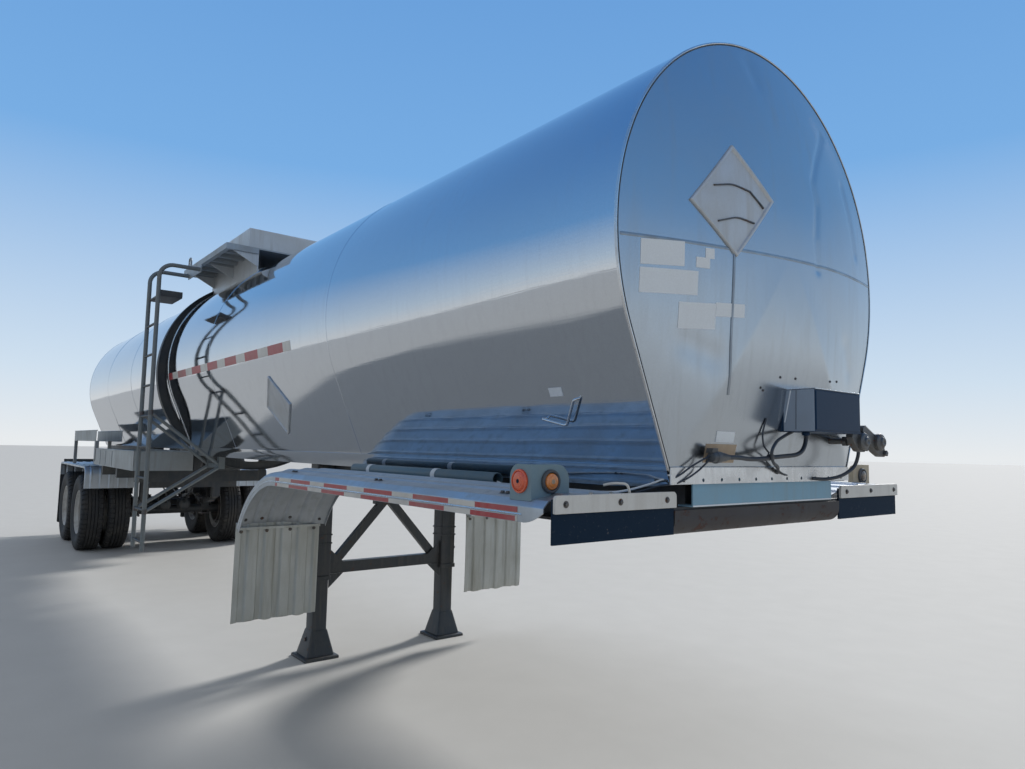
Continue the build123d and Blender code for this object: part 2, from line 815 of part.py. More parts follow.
with BuildPart() as rearFenders:
    for side in (-1, 1):
        low, sheet, mitre = rearFenderTop - rearFenderSheet, rearFenderSheet, rearFenderSheet * 0.4
        nose, fall, drop = rearFenderNose, rearFenderFall, rearFenderDrop
        with BuildSketch(sidePlane(side * fenderInner if side < 0 else halfWidth)):
            startX = back(rearFenderStart)
            endX = back(rearFenderEnd)
            with BuildLine():
                Polyline(
                    (startX, rearFenderFrontLow), (startX, rearFenderTop - nose), (startX - nose, rearFenderTop),
                    (endX + fall, rearFenderTop), (endX, rearFenderTop - drop), (endX, rearFenderRearLow),
                    (endX + sheet, rearFenderRearLow), (endX + sheet, rearFenderTop - drop - mitre),
                    (endX + fall + mitre, low), (startX - nose - mitre, low),
                    (startX - sheet, rearFenderTop - nose - mitre), (startX - sheet, rearFenderFrontLow), close=True,
                )
            make_face()
        extrude(amount=halfWidth - fenderInner)
save(rearFenders, "rear_fenders")

with BuildPart() as rearFlaps:
    for side in (-1, 1):
        boxBetween(back(rearFenderEnd), back(rearFenderEnd + flapThick), side * fenderInner, side * halfWidth,
                   rearFlapLow, rearFenderTop - rearFlapDrop)
save(rearFlaps, "rear_flaps")

# open side tray behind the ladder, with its cross beam and hangers
with BuildPart() as sideTray:
    outer = -(halfWidth - trayInset)
    boxBetween(back(trayStart), back(trayEnd), outer, -trayInner, trayLow, trayLow + traySheet)
    for wallY in (outer, -trayInner - traySheet):
        boxBetween(back(trayStart), back(trayEnd), wallY, wallY + traySheet, trayLow, trayHigh)
    for wallBack in (trayStart, trayEnd - traySheet):
        boxBetween(back(wallBack), back(wallBack + traySheet), outer, -trayInner, trayLow, trayHigh)
save(sideTray, "side_tray")

with BuildPart() as trayBeams:
    for beamBack in beamBacks:
        rearX, frontX = back(beamBack + beamHalf), back(beamBack - beamHalf)
        boxBetween(rearX, frontX, -frameHalfWide, beamInner, trayLow - beamHigh, trayLow)
        for hangerY in hangerYs:
            boxBetween(rearX, frontX, hangerY - hangerHalf, hangerY + hangerHalf, trayLow, tankFloor)
save(trayBeams, "tray_beams")

with BuildPart() as sideTrough:
    outer = -(halfWidth - trayInset)
    boxBetween(back(troughStart), back(troughEnd), outer, -troughInner, troughLow, troughLow + traySheet)
    for wallY in (outer, -troughInner - traySheet):
        boxBetween(back(troughStart), back(troughEnd), wallY, wallY + traySheet, troughLow, troughHigh)
    # feet behind the tray, by the outer wall and by the inner one
    outerWall, innerWall = (outer, outer + postWide), (-troughInner - postWide, -troughInner)
    for postBack, (nearY, farY), postLow in ((troughStart + postInset, outerWall, trayLow),
                                             (troughEnd - postInset, outerWall, rearFenderTop),
                                             (troughStart + troughPostMiddle, innerWall, rearFenderTop),
                                             (troughEnd - postInset, innerWall, rearFenderTop)):
        boxBetween(back(postBack - postHalf), back(postBack + postHalf), nearY, farY, postLow, troughLow)
    boxBetween(back(troughStart), back(trayEnd), *outerWall, trayLow, trayLow + postWide)
save(sideTrough, "side_trough")

# ladder: two rails bent in at the top, rungs, and a step bracket
ladderY = -(halfWidth - ladderRadius)
with BuildPart() as ladderRails:
    for railBack in (ladderFrontBack, ladderRearBack):
        with BuildLine(axisPlane(back(railBack))) as railPath:
            FilletPolyline((ladderY, ladderFoot), (ladderY, ladderRunHeight), (-deckOuter, ladderRunHeight),
                           radius=ladderBend)
        with BuildSketch(Plane(origin=(back(railBack), ladderY, ladderFoot), z_dir=(0, 0, 1))):
            Circle(ladderRadius)
        sweep(path=railPath.wires()[0])
save(ladderRails, "ladder_rails")

with BuildPart() as ladderRungs:
    rungs = int((ladderRunHeight - ladderBend - ladderFoot) / rungPitch)
    for index in range(rungs):
        rungZ = ladderFoot + rungStart + index * rungPitch
        rod((back(ladderRearBack), ladderY, rungZ), (back(ladderFrontBack), ladderY, rungZ), rungRadius)
    stepHeight = ladderRunHeight - stepDrop
    stepInner = ladderY + stepDeep
    boxBetween(back(ladderRearBack), back(ladderFrontBack), ladderY, stepInner, stepHeight, stepHeight + stepSheet)
    boxBetween(back(ladderFrontBack) - stepEarHalf, back(ladderFrontBack) + stepEarHalf, ladderY, stepInner,
               stepHeight + stepSheet, stepHeight + stepHigh)
    add(ladderRails.part, mode=Mode.SUBTRACT)
save(ladderRungs, "ladder_rungs")

with BuildPart() as ladderStruts:
    for railBack in (ladderFrontBack, ladderRearBack):
        railX = back(railBack)
        for rise in (strutHigh, strutLow):
            rod((railX, -anchorY, anchorHeight), (railX, ladderY + strutLap, rise), strutRadius)
        boxBetween(railX - anchorHalf, railX + anchorHalf, -anchorY - anchorHalf, -anchorY + anchorHalf,
                   anchorHeight - anchorHalf, tankFloor)
    boxBetween(back(ladderRearBack), back(ladderFrontBack), -anchorY - anchorBarHalf, -anchorY + anchorBarHalf,
               anchorHeight - anchorBarHalf, anchorHeight + anchorBarHalf)
    add(ladderRails.part, mode=Mode.SUBTRACT)
    add(tankJacket.part, mode=Mode.SUBTRACT)
save(ladderStruts, "ladder_struts")

with BuildPart() as deck:
    boxBetween(back(deckFront), back(deckRear), -deckOuter, deckLeft, deckTop - deckSheet, deckTop)
    rimLow = deckTop - deckRim
    for edgeY in (-deckOuter, deckLeft - deckRimWide):
        boxBetween(back(deckFront), back(deckRear), edgeY, edgeY + deckRimWide, rimLow, deckTop)
    for edgeBack in (deckFront, (deckFront + deckRear) / 2 - 10, deckRear - deckRimWide):
        boxBetween(back(edgeBack), back(edgeBack + deckRimWide), -deckOuter, -supportY, rimLow, deckTop)
    with Locations((back(manwayBack), 0, deckTop - deckSheet / 2)):
        Cylinder(manwayRadius + manwayGap, deckRim, mode=Mode.SUBTRACT)
    # rim drops to meet the ladder's rails
    boxBetween(back(ladderFrontBack - meetLong), back(ladderRearBack + meetLong), -deckOuter,
               -deckOuter + meetThick, ladderRunHeight - meetDrop, rimLow)
    # grab loop at the outer edge
    loopFrontX, loopRearX = (back(loopBack) for loopBack in loopBacks)
    loopY, loopLow = -deckOuter + loopInset, deckTop - loopSink
    with BuildLine(sidePlane(loopY)) as loopPath:
        FilletPolyline((loopFrontX, loopLow), (loopFrontX, deckTop + loopHigh), (loopRearX, deckTop + loopHigh),
                       (loopRearX, loopLow), radius=loopBend)
    with BuildSketch(Plane(origin=(loopFrontX, loopY, loopLow), z_dir=(0, 0, 1))):
        Circle(loopRadius)
    sweep(path=loopPath.wires()[0])
save(deck, "deck")

with BuildPart() as deckSupports:
    for side in (-1, 1):
        boxBetween(back(deckFront + supportInset), back(deckRear - supportInset), side * supportY - supportHalf,
                   side * supportY + supportHalf, supportLow, deckTop - deckSheet)
    for plateBack in gussetBacks:
        with BuildSketch(axisPlane(back(plateBack + gussetThick))):
            with BuildLine():
                Polyline((-supportY + supportHalf, rimLow), (-supportY + supportHalf, rimLow - gussetDeep),
                         (-deckOuter + gussetInset, rimLow), close=True)
            make_face()
        extrude(amount=gussetThick)
    with Locations((back((deckFront + deckRear) / 2), 0, roundHeight)):
        Cylinder(roundRadius, deckRear - deckFront, rotation=(0, 90, 0), mode=Mode.SUBTRACT)
    add(deck.part, mode=Mode.SUBTRACT)
    add(tankRing.part, mode=Mode.SUBTRACT)
save(deckSupports, "deck_supports")

with BuildPart() as spillBox:
    for side in (-1, 1):
        boxBetween(back(boxFront), back(boxRear), side * boxHalfWidth, side * (boxHalfWidth - boxSheet), deckTop,
                   boxTop)
    for edgeBack in (boxFront, boxRear - boxSheet):
        boxBetween(back(edgeBack), back(edgeBack + boxSheet), -boxHalfWidth, boxHalfWidth, deckTop, boxTop)
save(spillBox, "spill_box")

lidHingeX = back(manwayBack + lidRadius + hingeReach)
lidHingeZ = manwayTop + hingeRise
with BuildPart() as manwayNeck:
    with BuildSketch(Plane.XY.offset(neckLow)):
        with Locations((back(manwayBack), 0)):
            Circle(manwayRadius)
            Circle(manwayRadius - manwayWall, mode=Mode.SUBTRACT)
    extrude(amount=manwayTop - neckLow)
    with Locations((back(manwayBack), 0, roundHeight)):
        Cylinder(roundRadius, 3 * manwayRadius, rotation=(0, 90, 0), mode=Mode.SUBTRACT)
    # hinge ears behind the neck, with the pin between them
    for side in (-1, 1):
        with BuildSketch(sidePlane(side * earY + earHalf)):
            neckX = back(manwayBack + manwayRadius - 4)
            earFront = lidHingeX + 24
            earRear = lidHingeX - 22
            with BuildLine():
                Polyline((neckX, manwayTop - 60), (neckX, manwayTop - 6), (earFront, manwayTop - 6),
                         (earFront, lidHingeZ + 16), (earRear, lidHingeZ + 16), (earRear, manwayTop - 20),
                         close=True)
            make_face()
        extrude(amount=2 * earHalf)
    pinEnd = earY + earHalf
    rod((lidHingeX, -pinEnd, lidHingeZ), (lidHingeX, pinEnd, lidHingeZ), hingePinRadius)
save(manwayNeck, "manway_neck")

with BuildPart() as manwayLid:
    with BuildSketch(Plane.XY.offset(manwayTop + seatGap)):
        with Locations((back(manwayBack), 0)):
            Circle(lidRadius)
    extrude(amount=lidThick)
    with BuildSketch(Plane.XY.offset(manwayTop + seatGap + lidThick)):
        with Locations((back(manwayBack), 0)):
            Circle(lidRadius - lidCrownInset)
    extrude(amount=lidCrown, taper=lidCrownTaper)
    # tongue that reaches the hinge between the ears
    boxBetween(lidHingeX, back(manwayBack + lidRadius - tongueLap), -tongueHalf, tongueHalf, manwayTop + seatGap,
               manwayTop + lidThick)
    rod((lidHingeX, -tongueHalf, lidHingeZ), (lidHingeX, tongueHalf, lidHingeZ), hingeBarrel)
    rod((lidHingeX, -earY, lidHingeZ), (lidHingeX, earY, lidHingeZ), hingePinRadius + spindleGap,
        mode=Mode.SUBTRACT)
    # handle over the front edge
    boxBetween(back(manwayBack - lidRadius + handleLap), back(manwayBack - lidRadius - handleReach), -handleHalf,
               handleHalf, manwayTop + seatGap + handleRise, manwayTop + seatGap + lidThick)
save(manwayLid, "manway_lid")

# distance back, Y, radius and height of each vent
ventPlaces = ((5180, -250, 62, 130), (5180, 250, 48, 90), (6220, 330, 52, 110))
ventBase = 16
ventHood = 40
ventStem = 0.7
with BuildPart() as topVents:
    for ventBack, ventY, radius, high in ventPlaces:
        x = back(ventBack)
        rod((x, ventY, deckTop), (x, ventY, deckTop + high), radius * ventStem)
        rod((x, ventY, deckTop), (x, ventY, deckTop + ventBase), radius)
        rod((x, ventY, deckTop + high - ventHood), (x, ventY, deckTop + high), radius)
save(topVents, "top_vents")

bumperFloor = 460
bumperHalf = 1160
bumperHigh = 100
bumperDeep = 90
bumperPostInner = 440
bumperPostOuter = 520
bumperPostInset = 10
with BuildPart() as rearBumper:
    bumperTop = bumperFloor + bumperHigh
    boxBetween(back(tailReach), back(tailReach - bumperDeep), -bumperHalf, bumperHalf, bumperFloor, bumperTop)
    for side in (-1, 1):
        boxBetween(back(tailReach - bumperPostInset), back(tailReach - bumperDeep + bumperPostInset),
                   side * bumperPostInner, side * bumperPostOuter, bumperTop, bogieRailFloor)
save(rearBumper, "rear_bumper")

tailLampYs = (680, 830, 980)
tailLampZ = 1136
tailLampDeep = 22
tailLampRadius = 51
with BuildPart() as tailLamps:
    for side in (-1, 1):
        for lampY in tailLampYs:
            rod((back(bogieEnd), side * lampY, tailLampZ), (back(bogieEnd + tailLampDeep), side * lampY, tailLampZ),
                tailLampRadius)
save(tailLamps, "tail_lamps")

# rear outlet under the tank's tail: sump, valve body and a drilled flange
outletX = back(tankLength - 250)
outletZ = 1205
flangeBack = tankLength + 500
outletBoltCircle = 190.5
outletBolts = 8
outletBoltRadius = 9.5
outletFlange = 115
outletFlangeThick = 24
outletPipe = 60
sumpRadius = 92
sumpFlange = 130
sumpFlangeThick = 22
valveRadius = 84
valveLong = 200
leverX = back(tankLength + valveLong / 2)
leverRadius = 14
leverRise = 150
leverReach = 160
leverHalf = 12
with BuildPart() as rearOutlet:
    rod((outletX, 0, tankFloor), (outletX, 0, outletZ), sumpRadius)
    rod((outletX, 0, tankFloor), (outletX, 0, tankFloor - sumpFlangeThick), sumpFlange)
    rod((outletX + sumpRadius, 0, outletZ), (back(flangeBack), 0, outletZ), outletPipe)
    rod((back(tankLength), 0, outletZ), (back(tankLength + valveLong), 0, outletZ), valveRadius)
    rod((back(flangeBack - outletFlangeThick), 0, outletZ), (back(flangeBack), 0, outletZ), outletFlange)
    leverTop = outletZ + leverRise
    rod((leverX, 0, outletZ), (leverX, 0, leverTop), leverRadius)
    boxBetween(leverX - leverHalf, leverX + leverHalf, -leverReach, leverRadius, leverTop - leverHalf, leverTop)
    with BuildSketch(axisPlane(back(flangeBack))):
        with Locations((0, outletZ)):
            with PolarLocations(outletBoltCircle / 2, outletBolts, start_angle=22.5):
                Circle(outletBoltRadius)
    extrude(amount=outletFlangeThick, mode=Mode.SUBTRACT)
save(rearOutlet, "rear_outlet")

airTankRear = bogieStart - 170
airTankLong = 680
airTankY = 260
airTankZ = 1262
airTankRadius = 105
strapInset = 150
strapHalf = 20
strapHalfWide = 40
strapLow = 1300
with BuildPart() as airTanks:
    for side in (-1, 1):
        middle = side * airTankY
        rod((back(airTankRear), middle, airTankZ), (back(airTankRear - airTankLong), middle, airTankZ),
            airTankRadius)
        for strapBack in (airTankRear - strapInset, airTankRear - airTankLong + strapInset):
            boxBetween(back(strapBack - strapHalf), back(strapBack + strapHalf), middle - strapHalfWide,
                       middle + strapHalfWide, strapLow, tankFloor)
save(airTanks, "air_tanks")

# box of couplings on the front head, and what hangs beside it
plugX = faceX + 55
plugY = -370
plugZ = 1500
plugLong = 137
plugRadius = 30
plugStem = 14
cableEndX = plugX + 52
cableEndY = 110
glandLow = 1596
glandRadius = 17
boxRight, boxLeft = 20, 410
boxLow, boxHigh = 1610, 1790
with BuildPart() as connectorBox:
    boxBetween(faceX, faceX + frontReach, boxRight, boxLeft, boxLow, boxHigh)
    rod((cableEndX, cableEndY, boxLow), (cableEndX, cableEndY, glandLow), glandRadius)
    add(frontHead.part, mode=Mode.SUBTRACT)
save(connectorBox, "connector_box")

gladYs = (455, 610)
gladZ = 1580
gladReach = 150
gladPipe = 15
gladBody = 24
gladFace = 40
gladOffset = 25
gladTail = (40, 30)
with BuildPart() as gladhands:
    gladX = faceX + gladReach
    for gladY in gladYs:
        faceY = gladY + gladOffset
        rod((faceX, gladY, gladZ), (gladX, gladY, gladZ), gladPipe)
        rod((gladX, faceY, gladZ), (gladX, gladY - gladTail[0], gladZ - gladTail[1]), gladBody)
        rod((gladX, faceY, gladZ), (faceX + frontReach, faceY, gladZ), gladFace)
    add(frontHead.part, mode=Mode.SUBTRACT)
save(gladhands, "gladhands")

with BuildPart() as cablePlug:
    stemY = plugY - plugLong / 2
    rod((plugX, plugY - plugLong, plugZ), (plugX, plugY, plugZ), plugRadius)
    rod((faceX, stemY, plugZ), (plugX, stemY, plugZ), plugStem)
    add(frontHead.part, mode=Mode.SUBTRACT)
save(cablePlug, "cable_plug")

cableRadius = 9
cablePoints = [(plugX, plugY, plugZ), (plugX, -300, plugZ), (plugX, -230, 1493), (plugX + 6, -160, 1495),
               (plugX + 16, -95, 1502), (plugX + 30, -20, 1508), (cableEndX, 63, 1516),
               (cableEndX, cableEndY, 1563), (cableEndX, cableEndY, glandLow)]
vectors = [Vector(*point) for point in cablePoints]
runs = [(after - before).length for before, after in zip(vectors, vectors[1:])]
# an inner run is shared by the bends at both its ends, the first and last run by one
shares = [0.9] + [0.45] * (len(runs) - 2) + [0.9]
cableRadii = []
for index in range(1, len(vectors) - 1):
    turn = (vectors[index] - vectors[index - 1]).get_angle(vectors[index + 1] - vectors[index])
    straight = min(runs[index - 1] * shares[index - 1], runs[index] * shares[index])
    cableRadii.append(straight / tan(radians(turn / 2)))
with BuildPart() as frontCable:
    with BuildLine() as cablePath:
        FilletPolyline(*cablePoints, radius=cableRadii)
    with BuildSketch(Plane(origin=cablePoints[0], z_dir=vectors[1] - vectors[0])):
        Circle(cableRadius)
    sweep(path=cablePath.wires()[0])
save(frontCable, "front_cable")

# loose pipe that lies along the right fender by the tank
pipeRadius = 32
pipeY = -705
pipeFront = 970
pipeRear = 2440
pipeSink = 0.6
with BuildPart() as sidePipe:
    pipeZ = crownHeight(pipeY) + pipeRadius - pipeSink
    rod((back(pipeRear), pipeY, pipeZ), (back(pipeFront), pipeY, pipeZ), pipeRadius)
    add(frontFenders.part, mode=Mode.SUBTRACT)
save(sidePipe, "side_pipe")

# diamond plates: front head, both leaning sides and rear head
placardSide = 322
headPlacardSide = 335
placardThick = 6
placardSeat = 40
headPlacard = (-380, 2508)
headPlacardLean = 6
headPlacardRise = 0.83
sidePlacardBack = 3500
sidePlacardHeight = 1800
with BuildPart() as placards:
    # end of the tank, its bulge, its head, and the way it faces
    for rim, bulge, head, facing in ((faceX, headBulge, frontHead, 1), (back(tankLength), rearBulge, rearHead, -1)):
        turn = radians(headPlacardLean)
        outward = (facing * cos(turn), -sin(turn), 0)
        seat = (rim + facing * bulge * headPlacardRise, *headPlacard)
        for reach in (placardThick, -placardSeat):
            with BuildSketch(Plane(origin=seat, x_dir=(-outward[1], outward[0], 0), z_dir=outward)):
                Rectangle(headPlacardSide, headPlacardSide, rotation=45)
            extrude(amount=reach)
        add(head.part, mode=Mode.SUBTRACT)
    for side in (-1, 1):
        seat = (back(sidePlacardBack), side * tankSideY(sidePlacardHeight), sidePlacardHeight)
        outward = (0, side * cos(radians(sideLean)), -sin(radians(sideLean)))
        with BuildSketch(Plane(origin=seat, x_dir=(1, 0, 0), z_dir=outward)):
            Rectangle(placardSide, placardSide, rotation=45)
        extrude(amount=placardThick)
save(placards, "placards")
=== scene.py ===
from math import cos, radians, sin, tan

import bmesh
import bpy
import numpy as np
from mathutils import Matrix, Vector


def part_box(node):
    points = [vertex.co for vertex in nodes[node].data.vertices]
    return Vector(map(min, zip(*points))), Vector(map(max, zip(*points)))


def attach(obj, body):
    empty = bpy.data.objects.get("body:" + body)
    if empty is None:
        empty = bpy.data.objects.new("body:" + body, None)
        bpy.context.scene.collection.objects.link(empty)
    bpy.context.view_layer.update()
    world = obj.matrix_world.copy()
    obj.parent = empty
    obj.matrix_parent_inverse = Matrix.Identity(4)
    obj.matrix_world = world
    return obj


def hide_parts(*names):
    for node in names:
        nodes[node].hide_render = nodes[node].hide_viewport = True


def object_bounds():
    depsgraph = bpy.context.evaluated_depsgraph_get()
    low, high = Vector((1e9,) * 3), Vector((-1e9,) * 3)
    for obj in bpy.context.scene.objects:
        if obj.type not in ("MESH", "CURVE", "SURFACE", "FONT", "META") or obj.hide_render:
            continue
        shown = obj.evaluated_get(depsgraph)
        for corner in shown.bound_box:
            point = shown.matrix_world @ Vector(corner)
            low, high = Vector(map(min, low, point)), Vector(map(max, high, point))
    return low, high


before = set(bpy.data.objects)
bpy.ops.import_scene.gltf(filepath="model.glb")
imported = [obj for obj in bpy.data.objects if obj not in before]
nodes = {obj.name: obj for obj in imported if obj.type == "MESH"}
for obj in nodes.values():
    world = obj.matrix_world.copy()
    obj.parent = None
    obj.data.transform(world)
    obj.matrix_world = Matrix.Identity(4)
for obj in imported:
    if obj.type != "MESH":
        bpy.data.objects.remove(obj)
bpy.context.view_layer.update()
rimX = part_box("tank_jacket")[1].x  # rim of the front head
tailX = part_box("tank_jacket")[0].x  # rim of the rear head
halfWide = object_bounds()[1].y
print("frame loaded")


def back(distance):  # X of a point this far behind the front rim
    return rimX - distance


# shapes, each a pair of points and faces


def gridPart(points, closeU=False, closeV=False):
    # a quad between each four neighbours of a rows by columns array of points
    rows, columns = points.shape[:2]
    index = np.arange(rows * columns).reshape(rows, columns)
    if closeU:
        index = np.vstack([index, index[:1]])
    if closeV:
        index = np.hstack([index, index[:, :1]])
    corners = (index[:-1, :-1], index[1:, :-1], index[1:, 1:], index[:-1, 1:])
    return points.reshape(-1, 3), np.stack([c.ravel() for c in corners], 1).tolist()


def cappedPart(points):
    # rows of closed loops joined to each other, the first and the last loop filled
    verts, faces = gridPart(points, closeV=True)
    count = points.shape[1]
    return verts, faces + [list(range(count)), list(range(len(verts) - count, len(verts)))]


def joinParts(parts):
    # one part of several, each with its own corners
    verts, faces, count = [], [], 0
    for points, polygons in parts:
        verts.append(np.asarray(points, float))
        faces += [[index + count for index in polygon] for polygon in polygons]
        count += len(points)
    return np.concatenate(verts), faces


def layersPart(layers):
    # two grids of one size joined round their border, as a thin sheet
    rows, columns = layers[0].shape[:2]
    size = rows * columns
    index = np.arange(size).reshape(rows, columns)
    rim = np.concatenate([index[:, 0], index[-1, 1:], index[-2::-1, -1], index[0, -2:0:-1]]).tolist()
    verts, faces = joinParts([gridPart(layer) for layer in layers])
    return verts, faces + [[a, b, b + size, a + size] for a, b in zip(rim, rim[1:] + rim[:1])]


def unit(vectors):
    # each vector divided by its length
    return vectors / np.maximum(np.linalg.norm(vectors, axis=-1, keepdims=True), 1e-12)


def sweepPart(profile, path, up=(0, 0, 1)):
    # profile (across, up) set square to the path at each of its points
    path, profile = np.asarray(path, float), np.asarray(profile, float)
    along = unit(np.gradient(path, axis=0))
    side = unit(np.cross(along, np.asarray(up, float)))
    lift = np.cross(side, along)
    across, up = profile[None, :, :1], profile[None, :, 1:]
    return cappedPart(path[:, None] + across * side[:, None] + up * lift[:, None])


def ringPart(profile, path, normal):
    # profile (outward, along normal) carried round a closed flat loop
    path, profile, normal = (np.asarray(a, float) for a in (path, profile, normal))
    along = unit(np.roll(path, -1, 0) - np.roll(path, 1, 0))
    outward = unit(np.cross(along, normal))
    points = path[:, None] + profile[None, :, :1] * outward[:, None] + profile[None, :, 1:] * normal
    return gridPart(points, closeU=True, closeV=True)


def circle(radius, sides=14, turned=0.0):
    # corners of a regular polygon round the origin
    angle = np.linspace(0, 2 * np.pi, sides, endpoint=False) + turned
    return np.stack([radius * np.cos(angle), radius * np.sin(angle)], 1)


def arcLine(centre, radius, first, last, count):
    # points of an arc between two angles in degrees
    angle = np.radians(np.linspace(first, last, count))
    return np.stack([centre[0] + radius * np.cos(angle), centre[1] + radius * np.sin(angle)], 1)


def evenPoints(line, count, last=True):
    # points evenly spaced along a flat line, with or without its last point
    run = np.concatenate([[0], np.cumsum(np.linalg.norm(np.diff(line, axis=0), axis=1))])
    stops = np.linspace(0, run[-1], count, endpoint=last)
    return np.stack([np.interp(stops, run, line[:, 0]), np.interp(stops, run, line[:, 1])], 1)


def roundedPath(corners, radius, steps=6):
    # straight runs with a parabola across each corner
    corners = np.asarray(corners, float)
    path = [corners[:1]]
    share = np.linspace(0, 1, steps + 1)[:, None]
    for before, here, after in zip(corners, corners[1:], corners[2:]):
        runIn, runOut = here - before, after - here
        reach = min(radius, 0.48 * np.linalg.norm(runIn), 0.48 * np.linalg.norm(runOut))
        first, last = here - unit(runIn) * reach, here + unit(runOut) * reach
        path.append((1 - share) ** 2 * first + 2 * share * (1 - share) * here + share**2 * last)
    path.append(corners[-1:])
    return np.concatenate(path)


def tubePart(corners, radius, bend=0.0, up=(0, 0, 1), sides=14):
    # round line through corners, each rounded by bend
    path = roundedPath(corners, bend) if bend else np.asarray(corners, float)
    return sweepPart(circle(radius, sides), path, up)


def lathePart(profile, at, axis, turns=40):
    # (along, radius) points turned about an axis through a point
    profile, at, axis = np.asarray(profile, float), np.asarray(at, float), unit(np.asarray(axis, float))
    helper = np.array([0, 0, 1.0]) if abs(axis[2]) < 0.9 else np.array([1.0, 0, 0])
    first = unit(np.cross(axis, helper))
    second = np.cross(axis, first)
    angle = np.linspace(0, 2 * np.pi, turns, endpoint=False)[:, None, None]
    spoke = np.cos(angle) * first + np.sin(angle) * second
    return gridPart(at + profile[None, :, :1] * axis + profile[None, :, 1:] * spoke, closeU=True)


def bandSection(half, inner, outer):
    # closed (along, radius) section of a flat band, to be turned
    return [(-half, inner), (-half, outer), (half, outer), (half, inner), (-half, inner)]


def prismPart(outline, at, across, up, depth):
    # closed outline (across, up) pushed along across x up
    outline, at = np.asarray(outline, float), np.asarray(at, float)
    across, up = np.asarray(across, float), np.asarray(up, float)
    face = at + outline[:, :1] * across + outline[:, 1:] * up
    verts = np.concatenate([face, face + depth * np.cross(across, up)])
    count = len(outline)
    sides = [[i, (i + 1) % count, count + (i + 1) % count, count + i] for i in range(count)]
    return verts, sides + [list(range(count)), list(range(count, 2 * count))]


def boxPart(x, y, z):
    # box between two values on each axis
    (x1, x2), (y1, y2), (z1, z2) = sorted(x), sorted(y), sorted(z)
    return prismPart([(x1, y1), (x2, y1), (x2, y2), (x1, y2)], (0, 0, z1), (1, 0, 0), (0, 1, 0), z2 - z1)


def around(middle, half):  # two values on both sides of a middle
    return middle - half, middle + half


def barPart(start, end, wide, deep, up=(0, 0, 1)):
    # square section between two points, wide across and deep along up
    section = [(-wide / 2, -deep / 2), (wide / 2, -deep / 2), (wide / 2, deep / 2), (-wide / 2, deep / 2)]
    return sweepPart(section, [start, end], up)


def boltPart(at, axis, size=0.011):
    # hexagon head with a bevelled top, on a washer
    washer = lathePart([(0, 0), (0, size * 1.5), (size * 0.22, size * 1.5), (size * 0.22, 0)], at, axis, 16)
    head = [(size * 0.2, 0), (size * 0.2, size), (size * 0.85, size), (size, size * 0.8), (size, 0)]
    return joinParts([washer, lathePart(head, at, axis, 6)])


def boltParts(places, axis, size):
    # one bolt at each place
    return [boltPart(at, axis, size) for at in places]


def mirrored(part):  # the same part on the other side of the vehicle
    return part[0] * np.array([1, -1, 1]), part[1]


def bothSides(parts):
    # parts and their mirror images
    return list(parts) + [mirrored(part) for part in parts]


def piece(name, parts, finish, body="trailer", replaces=(), bevel=0.0, sharp=35):
    # one object at the origin, its faces turned outwards, bevelled or with its edges marked sharp
    verts, faces = joinParts(parts)
    mesh = bpy.data.meshes.new(name)
    mesh.from_pydata(verts.tolist(), [], faces)
    work = bmesh.new()
    work.from_mesh(mesh)
    bmesh.ops.remove_doubles(work, verts=work.verts, dist=1e-6)
    bmesh.ops.recalc_face_normals(work, faces=work.faces)
    work.to_mesh(mesh)
    work.free()
    mesh.polygons.foreach_set("use_smooth", np.ones(len(mesh.polygons), bool))
    obj = bpy.data.objects.new(name, mesh)
    bpy.context.scene.collection.objects.link(obj)
    if bevel:
        edge = obj.modifiers.new("edge", "BEVEL")
        edge.width, edge.segments, edge.limit_method = bevel, 2, "ANGLE"
        edge.angle_limit, edge.harden_normals = radians(38), True
    else:
        mesh.set_sharp_from_angle(angle=radians(sharp))
    mesh.materials.append(finish)
    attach(obj, body)
    if replaces:
        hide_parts(*replaces)


# finishes


def place(tree, kind, **values):
    # a node with its settings and its unlinked inputs
    made = tree.nodes.new(kind)
    for key, value in values.items():
        made.inputs[key].default_value = value
    return made


def placeGroup(tree, group, **values):
    # a node group with its inputs, whose spaces are underscores here
    made = tree.nodes.new("ShaderNodeGroup")
    made.node_tree = group
    for key, value in values.items():
        made.inputs[key.replace("_", " ")].default_value = value
    return made


def makeGroup(name, inputs, outputs):
    # node group with its sockets, each input at its start value
    group = bpy.data.node_groups.new(name, "ShaderNodeTree")
    for label, start in inputs.items():
        kind = "NodeSocketColor" if isinstance(start, tuple) else "NodeSocketFloat"
        group.interface.new_socket(name=label, in_out="INPUT", socket_type=kind).default_value = start
    for label in outputs:
        kind = "NodeSocketColor" if label == "Color" else "NodeSocketFloat"
        group.interface.new_socket(name=label, in_out="OUTPUT", socket_type=kind)
    return group, group.nodes.new("NodeGroupInput").outputs, group.nodes.new("NodeGroupOutput").inputs


def mathNode(tree, operation, first, second=0.0, clamp=False):
    # one operation on two numbers or sockets
    made = tree.nodes.new("ShaderNodeMath")
    made.operation, made.use_clamp = operation, clamp
    for socket, value in zip(made.inputs, (first, second)):
        if isinstance(value, (int, float)):
            socket.default_value = value
        else:
            tree.links.new(value, socket)
    return made.outputs[0]


def mixNode(tree, share, first, second):
    # first where share is 0, second where it is 1
    made = tree.nodes.new("ShaderNodeMix")
    made.data_type = "RGBA"
    for socket, value in zip((made.inputs[0], made.inputs[6], made.inputs[7]), (share, first, second)):
        if hasattr(value, "is_linked"):
            tree.links.new(value, socket)
        else:
            socket.default_value = value
    return made.outputs[2]


